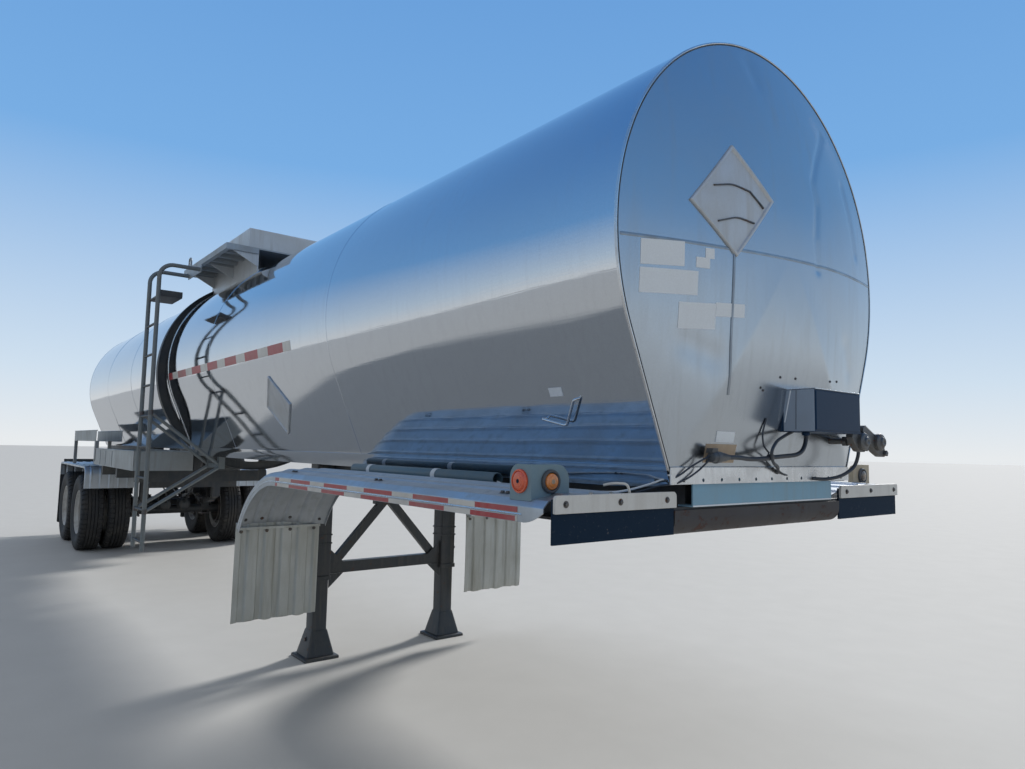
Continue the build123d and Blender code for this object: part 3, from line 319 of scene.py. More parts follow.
def noiseNode(tree, stretch, scale, detail=4.0, rough=0.55):
    # noise on Object coordinates, stretched by a factor along each axis
    where = tree.nodes.new("ShaderNodeTexCoord")
    mapping = place(tree, "ShaderNodeMapping", Scale=stretch)
    made = place(tree, "ShaderNodeTexNoise", Detail=detail, Roughness=rough)
    tree.links.new(where.outputs["Object"], mapping.inputs["Vector"])
    tree.links.new(mapping.outputs[0], made.inputs["Vector"])
    if isinstance(scale, (int, float)):
        made.inputs["Scale"].default_value = scale
    else:
        tree.links.new(scale, made.inputs["Scale"])
    return made.outputs["Fac"]


wear = {"blotchFrom": 0.42, "blotchGain": 6.0, "streakFrom": 0.47, "streakGain": 7.0, "cover": 0.82,
        "rustFrom": 0.72, "rustSpread": 0.34, "rustGain": 14.0, "grainShade": 0.16, "soilRough": 0.28,
        "rustRough": 0.5, "soilHides": 0.55, "grainHigh": 0.25, "rustHigh": 0.7}


def makeWeather():
    # blotches, streaks that run down, and rust spots over a base colour
    group, given, out = makeGroup(
        "weather",
        {"Base": (0.5, 0.5, 0.5, 1), "Dirt": (0.3, 0.27, 0.22, 1), "Rust": (0.25, 0.1, 0.05, 1), "Scale": 3.0,
         "Dirt Amount": 0.3, "Streak Amount": 0.3, "Rust Amount": 0.0, "Roughness": 0.5, "Metallic": 0.0},
        ("Color", "Roughness", "Metallic", "Height"))

    def calc(operation, first, second, clamp=False):
        return mathNode(group, operation, first, second, clamp)

    blotch = noiseNode(group, (1, 1, 1), given["Scale"], 7, 0.62)
    streak = noiseNode(group, (9, 9, 0.7), 2.2, 5, 0.6)
    grain = noiseNode(group, (1, 1, 1), 160.0, 3)
    spots = noiseNode(group, (1, 1, 1.3), calc("MULTIPLY", given["Scale"], 2.3), 8, 0.72)
    dirtGain = calc("MULTIPLY", given["Dirt Amount"], wear["blotchGain"])
    dirt = calc("MULTIPLY", calc("SUBTRACT", blotch, wear["blotchFrom"]), dirtGain, True)
    runGain = calc("MULTIPLY", given["Streak Amount"], wear["streakGain"])
    run = calc("MULTIPLY", calc("SUBTRACT", streak, wear["streakFrom"]), runGain, True)
    soil = calc("MULTIPLY", calc("MAXIMUM", dirt, run), wear["cover"])
    edge = calc("SUBTRACT", wear["rustFrom"], calc("MULTIPLY", given["Rust Amount"], wear["rustSpread"]))
    rust = calc("MULTIPLY", calc("SUBTRACT", spots, edge), wear["rustGain"], True)
    shade = mixNode(group, calc("MULTIPLY", grain, wear["grainShade"]), given["Base"], (0.02, 0.02, 0.02, 1))
    soiled = mixNode(group, soil, shade, given["Dirt"])
    rusted = mixNode(group, grain, given["Rust"], (0.06, 0.03, 0.02, 1))
    rough = calc("ADD", given["Roughness"], calc("MULTIPLY", soil, wear["soilRough"]))
    hidden = calc("MAXIMUM", calc("MULTIPLY", soil, wear["soilHides"]), rust)
    grainHigh, rustHigh = calc("MULTIPLY", grain, wear["grainHigh"]), calc("MULTIPLY", rust, wear["rustHigh"])
    group.links.new(mixNode(group, rust, soiled, rusted), out["Color"])
    group.links.new(calc("ADD", rough, calc("MULTIPLY", rust, wear["rustRough"]), True), out["Roughness"])
    group.links.new(calc("MULTIPLY", given["Metallic"], calc("SUBTRACT", 1.0, hidden)), out["Metallic"])
    group.links.new(calc("ADD", grainHigh, rustHigh), out["Height"])
    return group


def makeRipple():
    # long shallow waves of sheet metal, and fine lines of its rolling
    group, given, out = makeGroup("ripple", {"Wave": 1.0, "Lines": 1.0}, ("Height",))
    wave = mathNode(group, "MULTIPLY", noiseNode(group, (0.35, 1, 1), 2.1, 2, 0.4), given["Wave"])
    lines = mathNode(group, "MULTIPLY", noiseNode(group, (1, 26, 26), 5.0, 2, 0.5), given["Lines"])
    group.links.new(mathNode(group, "ADD", wave, mathNode(group, "MULTIPLY", lines, 0.02)), out["Height"])
    return group


weather, ripple = makeWeather(), makeRipple()


def newFinish(name):
    # material with its tree and shader
    material = bpy.data.materials.new(name)
    material.use_nodes = True
    tree = material.node_tree
    return material, tree, tree.nodes["Principled BSDF"]


def bumpFrom(tree, shader, height, strength, distance):
    # relief of height times distance
    bump = place(tree, "ShaderNodeBump", Strength=strength, Distance=distance)
    tree.links.new(height, bump.inputs["Height"])
    tree.links.new(bump.outputs[0], shader.inputs["Normal"])


def cellBump(tree, shader, scale, strength, distance):
    # small cells pressed into a lens or a reflector
    cells = place(tree, "ShaderNodeTexVoronoi", Scale=scale)
    tree.links.new(tree.nodes.new("ShaderNodeTexCoord").outputs["Object"], cells.inputs["Vector"])
    bumpFrom(tree, shader, cells.outputs["Distance"], strength, distance)


def linkWorn(tree, worn, shader, *labels):
    # the weather group's outputs joined to the shader
    for label in labels:
        tree.links.new(worn.outputs[label], shader.inputs["Base Color" if label == "Color" else label])


def weathered(name, base, rough=0.5, metal=0.0, scale=3.0, dirt=0.3, streak=0.3, rust=0.0, bump=0.25,
              dirtColour=(0.24, 0.21, 0.17), rustColour=(0.23, 0.09, 0.04), grainDeep=0.0008, shine=0.5):
    # paint, rubber, plastic or dull metal with its dirt, streaks and rust
    material, tree, shader = newFinish(name)
    worn = placeGroup(tree, weather, Base=(*base, 1), Dirt=(*dirtColour, 1), Rust=(*rustColour, 1),
                      Scale=scale, Dirt_Amount=dirt, Streak_Amount=streak, Rust_Amount=rust,
                      Roughness=rough, Metallic=metal)
    linkWorn(tree, worn, shader, "Color", "Roughness")
    if metal > 0:
        linkWorn(tree, worn, shader, "Metallic")
    shader.inputs["Specular IOR Level"].default_value = shine
    bumpFrom(tree, shader, worn.outputs["Height"], bump, grainDeep)
    return material


def sheetMetal(name, base, rough, wave, lines, dirt, streak, dirtColour, waveDeep):
    # polished sheet: mirror with slow waves, rolling lines and a dust film
    material, tree, shader = newFinish(name)
    worn = placeGroup(tree, weather, Base=(*base, 1), Dirt=(*dirtColour, 1), Rust=(0.2, 0.12, 0.07, 1),
                      Scale=1.3, Dirt_Amount=dirt, Streak_Amount=streak, Rust_Amount=0.0,
                      Roughness=rough, Metallic=1.0)
    linkWorn(tree, worn, shader, "Color", "Roughness", "Metallic")
    rolled = placeGroup(tree, ripple, Wave=wave, Lines=lines)
    bumpFrom(tree, shader, rolled.outputs["Height"], 0.6, waveDeep)
    return material


def blockTape(name, pitch, redShare, shift=0.0, axis=0):
    # red and white blocks along an axis, with a fine honeycomb of the reflector
    material, tree, shader = newFinish(name)
    split = tree.nodes.new("ShaderNodeSeparateXYZ")
    tree.links.new(tree.nodes.new("ShaderNodeTexCoord").outputs["Object"], split.inputs[0])
    along = mathNode(tree, "ADD", split.outputs[axis], 40.0 + shift)  # above zero all along the trailer
    block = mathNode(tree, "FRACT", mathNode(tree, "DIVIDE", along, pitch))
    red = mathNode(tree, "LESS_THAN", block, redShare)
    worn = placeGroup(tree, weather, Scale=5.0, Dirt_Amount=0.3, Streak_Amount=0.16, Roughness=0.34,
                      Dirt=(0.36, 0.33, 0.3, 1))
    tree.links.new(mixNode(tree, red, (0.66, 0.66, 0.64, 1), (0.42, 0.035, 0.045, 1)), worn.inputs["Base"])
    linkWorn(tree, worn, shader, "Color", "Roughness")
    cellBump(tree, shader, 260.0, 0.3, 0.0006)
    return material


def lensFinish(name, colour):
    # moulded lens: rings of prisms under a glossy face
    material, tree, shader = newFinish(name)
    shader.inputs["Roughness"].default_value = 0.16
    shader.inputs["Coat Weight"].default_value = 0.6
    grain, shaded = noiseNode(tree, (1, 1, 1), 60.0, 3), [c * 0.55 for c in colour]
    tree.links.new(mixNode(tree, grain, (*colour, 1), (*shaded, 1)), shader.inputs["Base Color"])
    cellBump(tree, shader, 150.0, 0.35, 0.001)
    return material


jacketMetal = sheetMetal("jacketMetal", (0.6, 0.63, 0.67), rough=0.05, wave=0.5, lines=0.8, dirt=0.04,
                         streak=0.05, dirtColour=(0.36, 0.37, 0.37), waveDeep=0.012)
headMetal = sheetMetal("headMetal", (0.47, 0.51, 0.55), rough=0.22, wave=0.5, lines=0.5, dirt=0.1, streak=0.1,
                       dirtColour=(0.33, 0.31, 0.28), waveDeep=0.008)
trimBright = weathered("trimBright", (0.7, 0.71, 0.72), 0.24, 1.0, 8, dirt=0.25, streak=0.2, bump=0.2)
seamMetal = weathered("seamMetal", (0.34, 0.37, 0.4), 0.34, 1.0, 9, streak=0.2, bump=0.1,
                      dirtColour=(0.16, 0.16, 0.16))
lidMetal = weathered("lidMetal", (0.56, 0.58, 0.6), 0.38, 0.9, 5, dirt=0.2, streak=0.1, bump=0.04)
fenderMetal = weathered("fenderMetal", (0.5, 0.53, 0.56), 0.42, 0.85, 3.5, streak=0.35, bump=0.3,
                        dirtColour=(0.3, 0.31, 0.3))
panelMetal = weathered("panelMetal", (0.55, 0.56, 0.53), 0.5, 0.6, streak=0.5, bump=0.3,
                       dirtColour=(0.36, 0.35, 0.29))
chassisPaint = weathered("chassisPaint", (0.03, 0.036, 0.042), 0.5, 0.0, 5, rust=0.26, bump=0.4,
                         dirtColour=(0.13, 0.115, 0.095), rustColour=(0.15, 0.07, 0.04))
legPaint = weathered("legPaint", (0.028, 0.034, 0.04), 0.42, 0.0, 6, dirt=0.22, streak=0.35, rust=0.34,
                     bump=0.4, dirtColour=(0.12, 0.105, 0.085), rustColour=(0.16, 0.08, 0.045))
palePaint = weathered("palePaint", (0.21, 0.41, 0.56), 0.5, 0.0, 4, streak=0.4, rust=0.16, bump=0.35,
                      dirtColour=(0.25, 0.33, 0.38))
couplerRust = weathered("couplerRust", (0.05, 0.047, 0.05), 0.62, 0.1, 5, dirt=0.35, rust=0.48, bump=0.6,
                        dirtColour=(0.07, 0.058, 0.052), rustColour=(0.105, 0.06, 0.052), grainDeep=0.002)
whiteBar = weathered("whiteBar", (0.66, 0.67, 0.66), 0.42, 0.0, 7, dirt=0.22, rust=0.14, bump=0.2,
                     dirtColour=(0.42, 0.4, 0.37))
flapRubber = weathered("flapRubber", (0.018, 0.022, 0.028), 0.6, 0.0, 4, dirt=0.18, bump=0.5,
                       dirtColour=(0.07, 0.07, 0.07))
# painted sky light: the front flaps are black rubber given the navy of their sky-lit shaded face, unlike the
# black rear flaps; the lens dots share this navy
flapNavy = weathered("flapNavy", (0.003, 0.018, 0.042), 0.62, 0.0, 26, dirt=0.08, streak=0.1, rust=0.3,
                     bump=0.4, dirtColour=(0.025, 0.045, 0.07), rustColour=(0.2, 0.22, 0.25), shine=0.12)
tyreRubber = weathered("tyreRubber", (0.02, 0.02, 0.021), 0.72, 0.0, 5, dirt=0.34, streak=0.12, bump=0.5,
                       dirtColour=(0.1, 0.09, 0.075))
rimPaint = weathered("rimPaint", (0.56, 0.56, 0.54), 0.45, 0.0, 9, dirt=0.4, rust=0.3, bump=0.3,
                     dirtColour=(0.24, 0.2, 0.16))
hubPaint = weathered("hubPaint", (0.07, 0.07, 0.072), 0.5, 0.3, 9, dirt=0.45, streak=0.2, rust=0.4, bump=0.4)
greyPaint = weathered("greyPaint", (0.17, 0.2, 0.215), 0.5, 0.2, 4, dirt=0.35, streak=0.35, rust=0.25,
                      bump=0.3, dirtColour=(0.2, 0.18, 0.15))
trayMetal = weathered("trayMetal", (0.34, 0.37, 0.38), 0.46, 0.5, 3, dirt=0.35, streak=0.45, rust=0.12,
                      bump=0.3, dirtColour=(0.24, 0.22, 0.19))
deckMetal = weathered("deckMetal", (0.4, 0.43, 0.45), 0.5, 0.55, 4, dirt=0.35, rust=0.06, bump=0.3,
                      dirtColour=(0.25, 0.24, 0.21))
whiteMetal = weathered("whiteMetal", (0.6, 0.62, 0.63), 0.4, 0.35, 3, dirt=0.25, streak=0.35, rust=0.05,
                       bump=0.2, dirtColour=(0.36, 0.35, 0.32))
boxPlastic = weathered("boxPlastic", (0.05, 0.058, 0.068), 0.42, 0.0, 8, bump=0.3,
                       dirtColour=(0.15, 0.14, 0.13))
castMetal = weathered("castMetal", (0.13, 0.135, 0.14), 0.5, 0.7, 12, streak=0.2, rust=0.4, bump=0.6)
boltMetal = weathered("boltMetal", (0.1, 0.1, 0.105), 0.4, 0.8, 20, dirt=0.35, streak=0.2, rust=0.5, bump=0.3)
cableSkin = weathered("cableSkin", (0.022, 0.03, 0.045), 0.45, 0.0, 14, streak=0.1, bump=0.2,
                      dirtColour=(0.1, 0.09, 0.08))
patchWhite = weathered("patchWhite", (0.76, 0.82, 0.88), 0.5, 0.0, 12, dirt=0.08, streak=0.1, bump=0.1,
                       dirtColour=(0.58, 0.61, 0.64))
# painted light: a lighter blue-grey for the side of the navy connector box, where light falls on it
boxLitGrey = weathered("boxLitGrey", (0.29, 0.36, 0.46), 0.38, 0.0, 8, dirt=0.25, rust=0.03, bump=0.2,
                    dirtColour=(0.24, 0.27, 0.31))
# painted shade: a darker blue-grey that stands in for the shade on the right marker bracket
bracketShadeGrey = weathered("bracketShadeGrey", (0.19, 0.29, 0.35), 0.45, 0.1, 9, dirt=0.26, streak=0.35, rust=0.04,
                        bump=0.2, dirtColour=(0.25, 0.3, 0.32), shine=0.35)
holderMetal = weathered("holderMetal", (0.56, 0.59, 0.62), 0.44, 0.35, 7, dirt=0.28, streak=0.35, rust=0.03,
                        bump=0.2, dirtColour=(0.38, 0.38, 0.37))
pipePaint = weathered("pipePaint", (0.1, 0.17, 0.21), 0.45, 0.0, 6, streak=0.2, rust=0.12, bump=0.2,
                      dirtColour=(0.2, 0.21, 0.2))
plateRust = weathered("plateRust", (0.46, 0.36, 0.26), 0.55, 0.1, 7, rust=0.2, bump=0.3,
                      dirtColour=(0.32, 0.24, 0.17))
navyPaint = weathered("navyPaint", (0.01, 0.034, 0.082), 0.36, 0.0, 6, dirt=0.12, streak=0.2, rust=0.05,
                      bump=0.2, dirtColour=(0.045, 0.075, 0.115), shine=0.12)
beigePaint = weathered("beigePaint", (0.5, 0.43, 0.31), 0.5, 0.0, 9, dirt=0.25, rust=0.08, bump=0.2,
                       dirtColour=(0.34, 0.29, 0.22))
orangeLens = lensFinish("orangeLens", (0.82, 0.11, 0.02))
amberLens = lensFinish("amberLens", (0.9, 0.3, 0.06))
redLens = lensFinish("redLens", (0.5, 0.02, 0.015))
dullLens = lensFinish("dullLens", (0.1, 0.065, 0.04))
fenderTape = blockTape("fenderTape", 0.437, 0.6, -0.04)
fenderTapeLow = blockTape("fenderTapeLow", 0.437, 0.6, -0.012)
tankTape = blockTape("tankTape", 0.5, 0.58)
guardTape = blockTape("guardTape", 0.46, 0.6, axis=1)
print("finishes made")


# camera, light and floor

view = {"ahead": 1.691, "side": -2.753, "high": 1.519, "lens": 25.01, "right": (0.6254, 0.7801, 0.0199),
        "up": (0.057, -0.0711, 0.9958)}
lens = bpy.data.cameras.new("camera")
lens.lens, lens.sensor_width, lens.clip_end = view["lens"], 36.0, 400.0
camera = bpy.data.objects.new("camera", lens)
right, upward = np.array(view["right"]), np.array(view["up"])
turn = np.eye(4)
turn[:3, 0], turn[:3, 1], turn[:3, 2] = right, upward, np.cross(right, upward)
turn[:3, 3] = (rimX + view["ahead"], view["side"], view["high"])
camera.matrix_world = Matrix(turn.tolist())
bpy.context.scene.collection.objects.link(camera)
bpy.context.scene.camera = camera
bpy.context.scene.view_settings.view_transform = "Standard"

light = {"sun": 3.0, "spread": 8.0, "from": (-0.24, 0.86, 0.52), "tone": (1.0, 0.965, 0.91), "ambient": 0.46,
         "sky": (0.86, 0.92, 1.0),
         "stops": ((0.0, (0.8, 0.83, 0.85)), (0.09, (0.62, 0.74, 0.86)), (0.36, (0.19, 0.42, 0.77)),
                   (1.0, (0.05, 0.2, 0.56)))}
sun = bpy.data.lights.new("key", "SUN")
sun.energy, sun.angle, sun.color = light["sun"], radians(light["spread"]), light["tone"]
sunObj = bpy.data.objects.new("key", sun)
sunObj.rotation_euler = Vector(light["from"]).to_track_quat("Z", "Y").to_euler()
bpy.context.scene.collection.objects.link(sunObj)


def makeWorld():
    # as background pale at the horizon and blue overhead, as light one plain pale tone
    world = bpy.data.worlds.new("studio")
    world.use_nodes = True
    tree = world.node_tree
    sky = tree.nodes["Background"]
    split = tree.nodes.new("ShaderNodeSeparateXYZ")
    tree.links.new(tree.nodes.new("ShaderNodeTexCoord").outputs["Generated"], split.inputs[0])
    ramp = tree.nodes.new("ShaderNodeValToRGB")
    tree.links.new(split.outputs[2], ramp.inputs[0])
    while len(ramp.color_ramp.elements) < len(light["stops"]):
        ramp.color_ramp.elements.new(0.5)
    for element, (at, colour) in zip(ramp.color_ramp.elements, light["stops"]):
        element.position, element.color = at, (*colour, 1)
    rays = tree.nodes.new("ShaderNodeLightPath")
    seen = mathNode(tree, "MAXIMUM", rays.outputs["Is Camera Ray"], rays.outputs["Is Glossy Ray"])
    seen = mathNode(tree, "MAXIMUM", seen, rays.outputs["Is Transmission Ray"])
    tree.links.new(mixNode(tree, seen, (*light["sky"], 1), ramp.outputs[0]), sky.inputs["Color"])
    spare = mathNode(tree, "MULTIPLY", seen, 1.0 - light["ambient"])
    tree.links.new(mathNode(tree, "ADD", spare, light["ambient"]), sky.inputs["Strength"])
    bpy.context.scene.world = world


def makeFloor(radii=(0.0, 8.0, 40.0, 180.0), sides=96):
    # flat rings at ground height round the origin, in a pale grey with slow blotches
    finish, tree, shader = newFinish("floorFinish")
    tone = mixNode(tree, noiseNode(tree, (1, 1, 1), 3.0, 6), (0.56, 0.56, 0.55, 1), (0.62, 0.62, 0.61, 1))
    tree.links.new(tone, shader.inputs["Base Color"])
    shader.inputs["Roughness"].default_value = 0.85
    rings = [np.column_stack([circle(radius, sides), np.zeros(sides)]) for radius in radii]
    verts, faces = gridPart(np.stack(rings), closeV=True)
    mesh = bpy.data.meshes.new("floor")
    mesh.from_pydata(verts.tolist(), [], faces)
    mesh.materials.append(finish)
    made = bpy.data.objects.new("floor", mesh)
    bpy.context.scene.collection.objects.link(made)
    return made


makeWorld()
floor = makeFloor()
print("stage made")

# coupling cable from the plug to the box on the head

plugX = rimX + 0.055
glandX = plugX + 0.052
cableRoute = [(plugX, -0.37, 1.5), (plugX, -0.3, 1.5), (plugX, -0.23, 1.493), (plugX + 0.006, -0.16, 1.495),
              (plugX + 0.016, -0.095, 1.502), (plugX + 0.03, -0.02, 1.508), (glandX, 0.063, 1.516),
              (glandX, 0.11, 1.563), (glandX, 0.11, 1.596)]
cableLine = bpy.data.curves.new("front_cable_line", "CURVE")
cableLine.dimensions, cableLine.bevel_depth, cableLine.bevel_resolution = "3D", 0.009, 5
cableLine.resolution_u, cableLine.use_fill_caps = 10, True
spline = cableLine.splines.new("NURBS")
spline.points.add(len(cableRoute) - 1)
spline.points.foreach_set("co", np.hstack([np.array(cableRoute), np.ones((len(cableRoute), 1))]).ravel())
spline.order_u, spline.use_endpoint_u = 3, True
cable = bpy.data.objects.new("front_cable_line", cableLine)
cableLine.materials.append(cableSkin)
bpy.context.scene.collection.objects.link(cable)
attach(cable, "trailer")
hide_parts("front_cable")
print("cable made")

# tank: jacket, heads, rim bands and ring

tank = {"radius": 0.955, "high": 2.327, "lean": 22.5, "floor": 1.4345, "corner": 0.028, "frontBulge": 0.12,
        "rearBulge": 0.15}
leanAngle = radians(tank["lean"])
leanY = tank["radius"] * cos(leanAngle)
leanZ = tank["high"] - tank["radius"] * sin(leanAngle)
floorY = leanY - (leanZ - tank["floor"]) * tan(leanAngle)
headCentre = (tank["floor"] + tank["high"] + tank["radius"]) / 2


def tankOutline():
    # (Y, Z) round the tank from its left side over the top
    arc = arcLine((0, tank["high"]), tank["radius"], -tank["lean"], 180 + tank["lean"], 400)
    corners = [arc[-1], (-floorY, tank["floor"]), (floorY, tank["floor"]), arc[0]]
    below = roundedPath(corners, tank["corner"], 10)
    return evenPoints(np.concatenate([arc, below[1:]]), 320, last=False)


outline = tankOutline()
outlineAngle = np.arctan2(outline[:, 1] - headCentre, outline[:, 0])
outlineOrder = np.argsort(outlineAngle)
outlineReach = np.hypot(outline[:, 0], outline[:, 1] - headCentre)
hoopPath = np.column_stack([np.zeros(len(outline)), outline])


def headShare(y, z):
    # 0 at the middle of a head and 1 at its rim
    reach = np.interp(np.arctan2(z - headCentre, y), outlineAngle[outlineOrder], outlineReach[outlineOrder],
                      period=2 * np.pi)
    return np.hypot(y, z - headCentre) / reach


def tankSide(z):
    # half width of the tank at a height
    z = np.asarray(z, float)
    round_ = np.sqrt(np.maximum(tank["radius"] ** 2 - (z - tank["high"]) ** 2, 0))
    return np.where(z < leanZ, floorY + (z - tank["floor"]) * tan(leanAngle), round_)


dents = (  # path (Y, Z), half width, depth
    (((0.43, 3.03), (0.3, 2.86), (0.235, 2.745), (0.255, 2.64), (0.218, 2.47), (0.226, 2.33)), 0.02, 0.007),
    (((0.604, 2.82), (0.665, 2.66), (0.703, 2.5)), 0.026, 0.006),
    (((-0.16, 3.2), (-0.13, 3.11)), 0.04, 0.005), (((0.55, 2.02), (0.6, 1.92)), 0.05, 0.004),
    (((-0.62, 1.92), (-0.48, 1.88)), 0.06, 0.004),
)


def dentDepth(y, z):
    # sum of the dents, each falling off as a bell with the distance from its path
    total = np.zeros_like(y)
    for path, half, deep in dents:
        nearest = np.full_like(y, 9.0)
        for (y1, z1), (y2, z2) in zip(path, path[1:]):
            span = np.array([y2 - y1, z2 - z1])
            share = np.clip(((y - y1) * span[0] + (z - z1) * span[1]) / (span @ span), 0, 1)
            nearest = np.minimum(nearest, np.hypot(y - y1 - share * span[0], z - z1 - share * span[1]))
        total += deep * np.exp(-((nearest / half) ** 2))
    return total


def panelWave(y, z):
    # slow uneven swell of a thin head, under two and a half millimetres
    slow, quick = np.sin(5.1 * y + 1.3) * np.sin(4.3 * z), 0.6 * np.sin(9.7 * y - 3.1 * z)
    return 0.0012 * (slow + quick + 0.4 * np.sin(13.0 * z + 5.0 * y))


def headPoints(y, z, lift=0.0, rear=False):
    # points on a head, whose bulge falls off with the square of the share
    share = headShare(y, z)
    rise = 1 - np.clip(share, 0, 1) ** 2
    if rear:
        return np.stack([tailX - tank["rearBulge"] * rise - lift - panelWave(z, y) * rise, y, z], -1)
    deep = dentDepth(y, z) * np.clip(rise * 6, 0, 1)
    return np.stack([rimX + tank["frontBulge"] * rise + lift - deep + panelWave(y, z) * rise, y, z], -1)


def headAt(y, z):  # X of the front head at one place
    return float(headPoints(np.array(y), np.array(z))[0])


def headPart(rear=False, rings=96):
    # rings of the outline drawn in to the middle, closer together near the rim
    share = np.sin(np.linspace(0, np.pi / 2, rings))[:, None]
    y = share * outline[None, :, 0]
    z = headCentre + share * (outline[None, :, 1] - headCentre)
    points = headPoints(y, z, rear=rear)
    points[0] = points[0].mean(0)
    return gridPart(points, closeV=True)


def jacketPart(columns=150):
    # the outline from rim to rim, drawn in by about a millimetre with a slow sway between the rims
    x = np.linspace(tailX, rimX, columns)[:, None]
    sway = 0.0009 * np.sin(3.7 * x + 2.0 * np.sin(0.9 * x)) * np.sin(np.arange(len(outline)) * 0.079)[None]
    pull = np.clip((rimX - x) * 3, 0, 1) * np.clip((x - tailX) * 3, 0, 1)
    out = unit(outline - np.array([0, tank["high"]]))
    ring = outline[None] - out[None] * (0.0009 + sway * pull)[:, :, None]
    return gridPart(np.concatenate([np.repeat(x[:, :, None], len(outline), 1), ring], 2), closeV=True)


def hoopPart(section):  # section (outward, X) carried round the jacket
    return ringPart(section, hoopPath, (1, 0, 0))


def bandPart(x1, x2, lift, thick=0.002):
    # flat hoop on the jacket between two stations
    low = lift - thick
    return hoopPart([(low, x1), (lift, x1 + 0.001), (lift, x2 - 0.001), (low, x2), (-0.01, x2), (-0.01, x1)])


piece("tank_skin", [jacketPart()], jacketMetal, replaces=["tank_jacket"])
piece("front_dome", [headPart()], headMetal, replaces=["front_head"])
piece("rear_dome", [headPart(rear=True)], headMetal, replaces=["rear_head"])
rim = {"wide": 0.006, "past": 0.001, "lift": 0.001, "bead": 0.0042, "beadIn": 0.004, "gap": 0.0022,
       "gapIn": 0.0105, "gapPast": 0.003}
beads, gapShades = [], []
for end, facing in ((rimX, 1), (tailX, -1)):
    beads.append(hoopPart(circle(rim["bead"], 10) + np.array([-rim["beadIn"], end + facing * rim["past"]])))
    gapShades.append(hoopPart(circle(rim["gap"], 8) + np.array([-rim["gapIn"], end + facing * rim["gapPast"]])))
rimBands = [bandPart(rimX - rim["wide"], rimX + rim["past"], rim["lift"]),
            bandPart(tailX - rim["past"], tailX + rim["wide"], rim["lift"])]
piece("rim_bands", rimBands + beads, trimBright)
lap = {"at": (2.44, 4.88, 8.2, 9.75), "wide": 0.022, "lift": 0.0008}
laps = [bandPart(back(at), back(at) + lap["wide"], lap["lift"]) for at in lap["at"]]
piece("jacket_laps", laps, jacketMetal)
# painted shade: near-black rings in the crevice in front of each rim bead stand in for the shade in the gap
piece("rim_gap_shades", gapShades, chassisPaint)

ring = {"at": back(6.38), "high": 2.265, "outer": 1.045, "inner": 0.955, "half": 0.035, "sheet": 0.007,
        "rib": 0.006, "ribTurns": (-65, 246, 20), "bandNear": 0.045, "bandFar": 0.085, "bandLift": 0.004}


def ringParts():
    # flanged hoop round the tank, with short ribs between its flanges
    edge, sheet, outer, inner = ring["half"], ring["sheet"], ring["outer"], ring["inner"]
    section = [(-edge, outer), (edge, outer), (edge, outer - sheet), (sheet, outer - sheet),
               (sheet, inner + sheet), (edge, inner + sheet), (edge, inner), (-edge, inner),
               (-edge, inner + sheet), (-sheet, inner + sheet), (-sheet, outer - sheet),
               (-edge, outer - sheet), (-edge, outer)]
    centre = np.array([ring["at"], 0, ring["high"]])
    parts = [lathePart(section, centre, (1, 0, 0), 180)]
    for angle in np.radians(np.arange(*ring["ribTurns"])):
        spoke = np.array([0, np.cos(angle), np.sin(angle)])
        foot = centre + spoke * (inner + 0.004)
        end = foot + spoke * (outer - inner - 0.008)
        parts.append(barPart(foot, end, 2 * edge - 0.006, ring["rib"], (1, 0, 0)))
    return parts


piece("ring_hoop", ringParts(), chassisPaint, replaces=["tank_ring"])
# painted highlight: bright hoops on the jacket just beside the ring stand in for the highlight along its edge
ringHighlights = [bandPart(ring["at"] + x1, ring["at"] + x2, ring["bandLift"], ring["bandLift"])
             for x1, x2 in ((ring["bandNear"], ring["bandFar"]), (-ring["bandFar"], -ring["bandNear"]))]
piece("ring_highlight_bands", ringHighlights, trimBright)


def sidePlate(x1, x2, z1, z2, lift, steps=12):
    # thin plate on the jacket's right side
    x = np.linspace(x1, x2, steps * 2)[:, None] + np.zeros((1, steps))
    z = np.zeros((steps * 2, 1)) + np.linspace(z1, z2, steps)[None]
    return layersPart([np.stack([x, -(tankSide(z) + rise), z], -1) for rise in (lift, -0.001)])


skirt = {"front": rimX - 0.0015, "rear": ring["at"] + 0.09, "top": tank["floor"] + 0.03, "lowFront": 1.394,
         "low": 1.378, "thick": 0.003}


def skirtPart(rows=8):
    # the right side's sheet carried on below the jacket's corner, down to a low edge that rises at the front
    x = np.array([skirt["rear"], skirt["front"] - 0.3, skirt["front"] - 0.12, skirt["front"]])
    low = np.array([skirt["low"], skirt["low"], skirt["low"] + 0.006, skirt["lowFront"]])
    z = skirt["top"] + (low[:, None] - skirt["top"]) * np.linspace(0, 1, rows)[None]
    out = tankSide(z) + np.interp(z, (tank["floor"], skirt["top"]), (0.0042, 0.0005))
    outside = np.stack([np.repeat(x[:, None], rows, 1), -out, z], -1)
    inside = outside + np.array([0, skirt["thick"], 0])
    return cappedPart(np.concatenate([outside, inside[:, ::-1]], 1))


piece("jacket_skirts", bothSides([skirtPart()]), jacketMetal)
piece("side_tapes", bothSides([sidePlate(back(6.3), back(3.0), 2.15, 2.218, 0.0012)]), tankTape)


def headSheet(y1, y2, z1, z2, lift=0.0016, skew=0.0, steps=10):
    # thin plate on the front head, its right end raised by skew
    y = np.linspace(y1, y2, steps)[:, None] + np.zeros((1, steps))
    z = np.linspace(z1, z2, steps)[None] + skew * np.linspace(0, 1, steps)[:, None]
    return layersPart([headPoints(y, z, rise) for rise in (lift, -0.001)])


def headStrip(route, wide, lift, steps=40):
    # narrow strip along a route (Y, Z) on the front head
    at = evenPoints(np.asarray(route, float), steps)
    half = wide / 2
    section = [(-half, -0.002), (half, -0.002), (half, lift * 0.6), (half * 0.6, lift), (-half * 0.6, lift),
               (-half, lift * 0.6)]
    return sweepPart(section, headPoints(at[:, 0], at[:, 1]), (1, 0, 0))


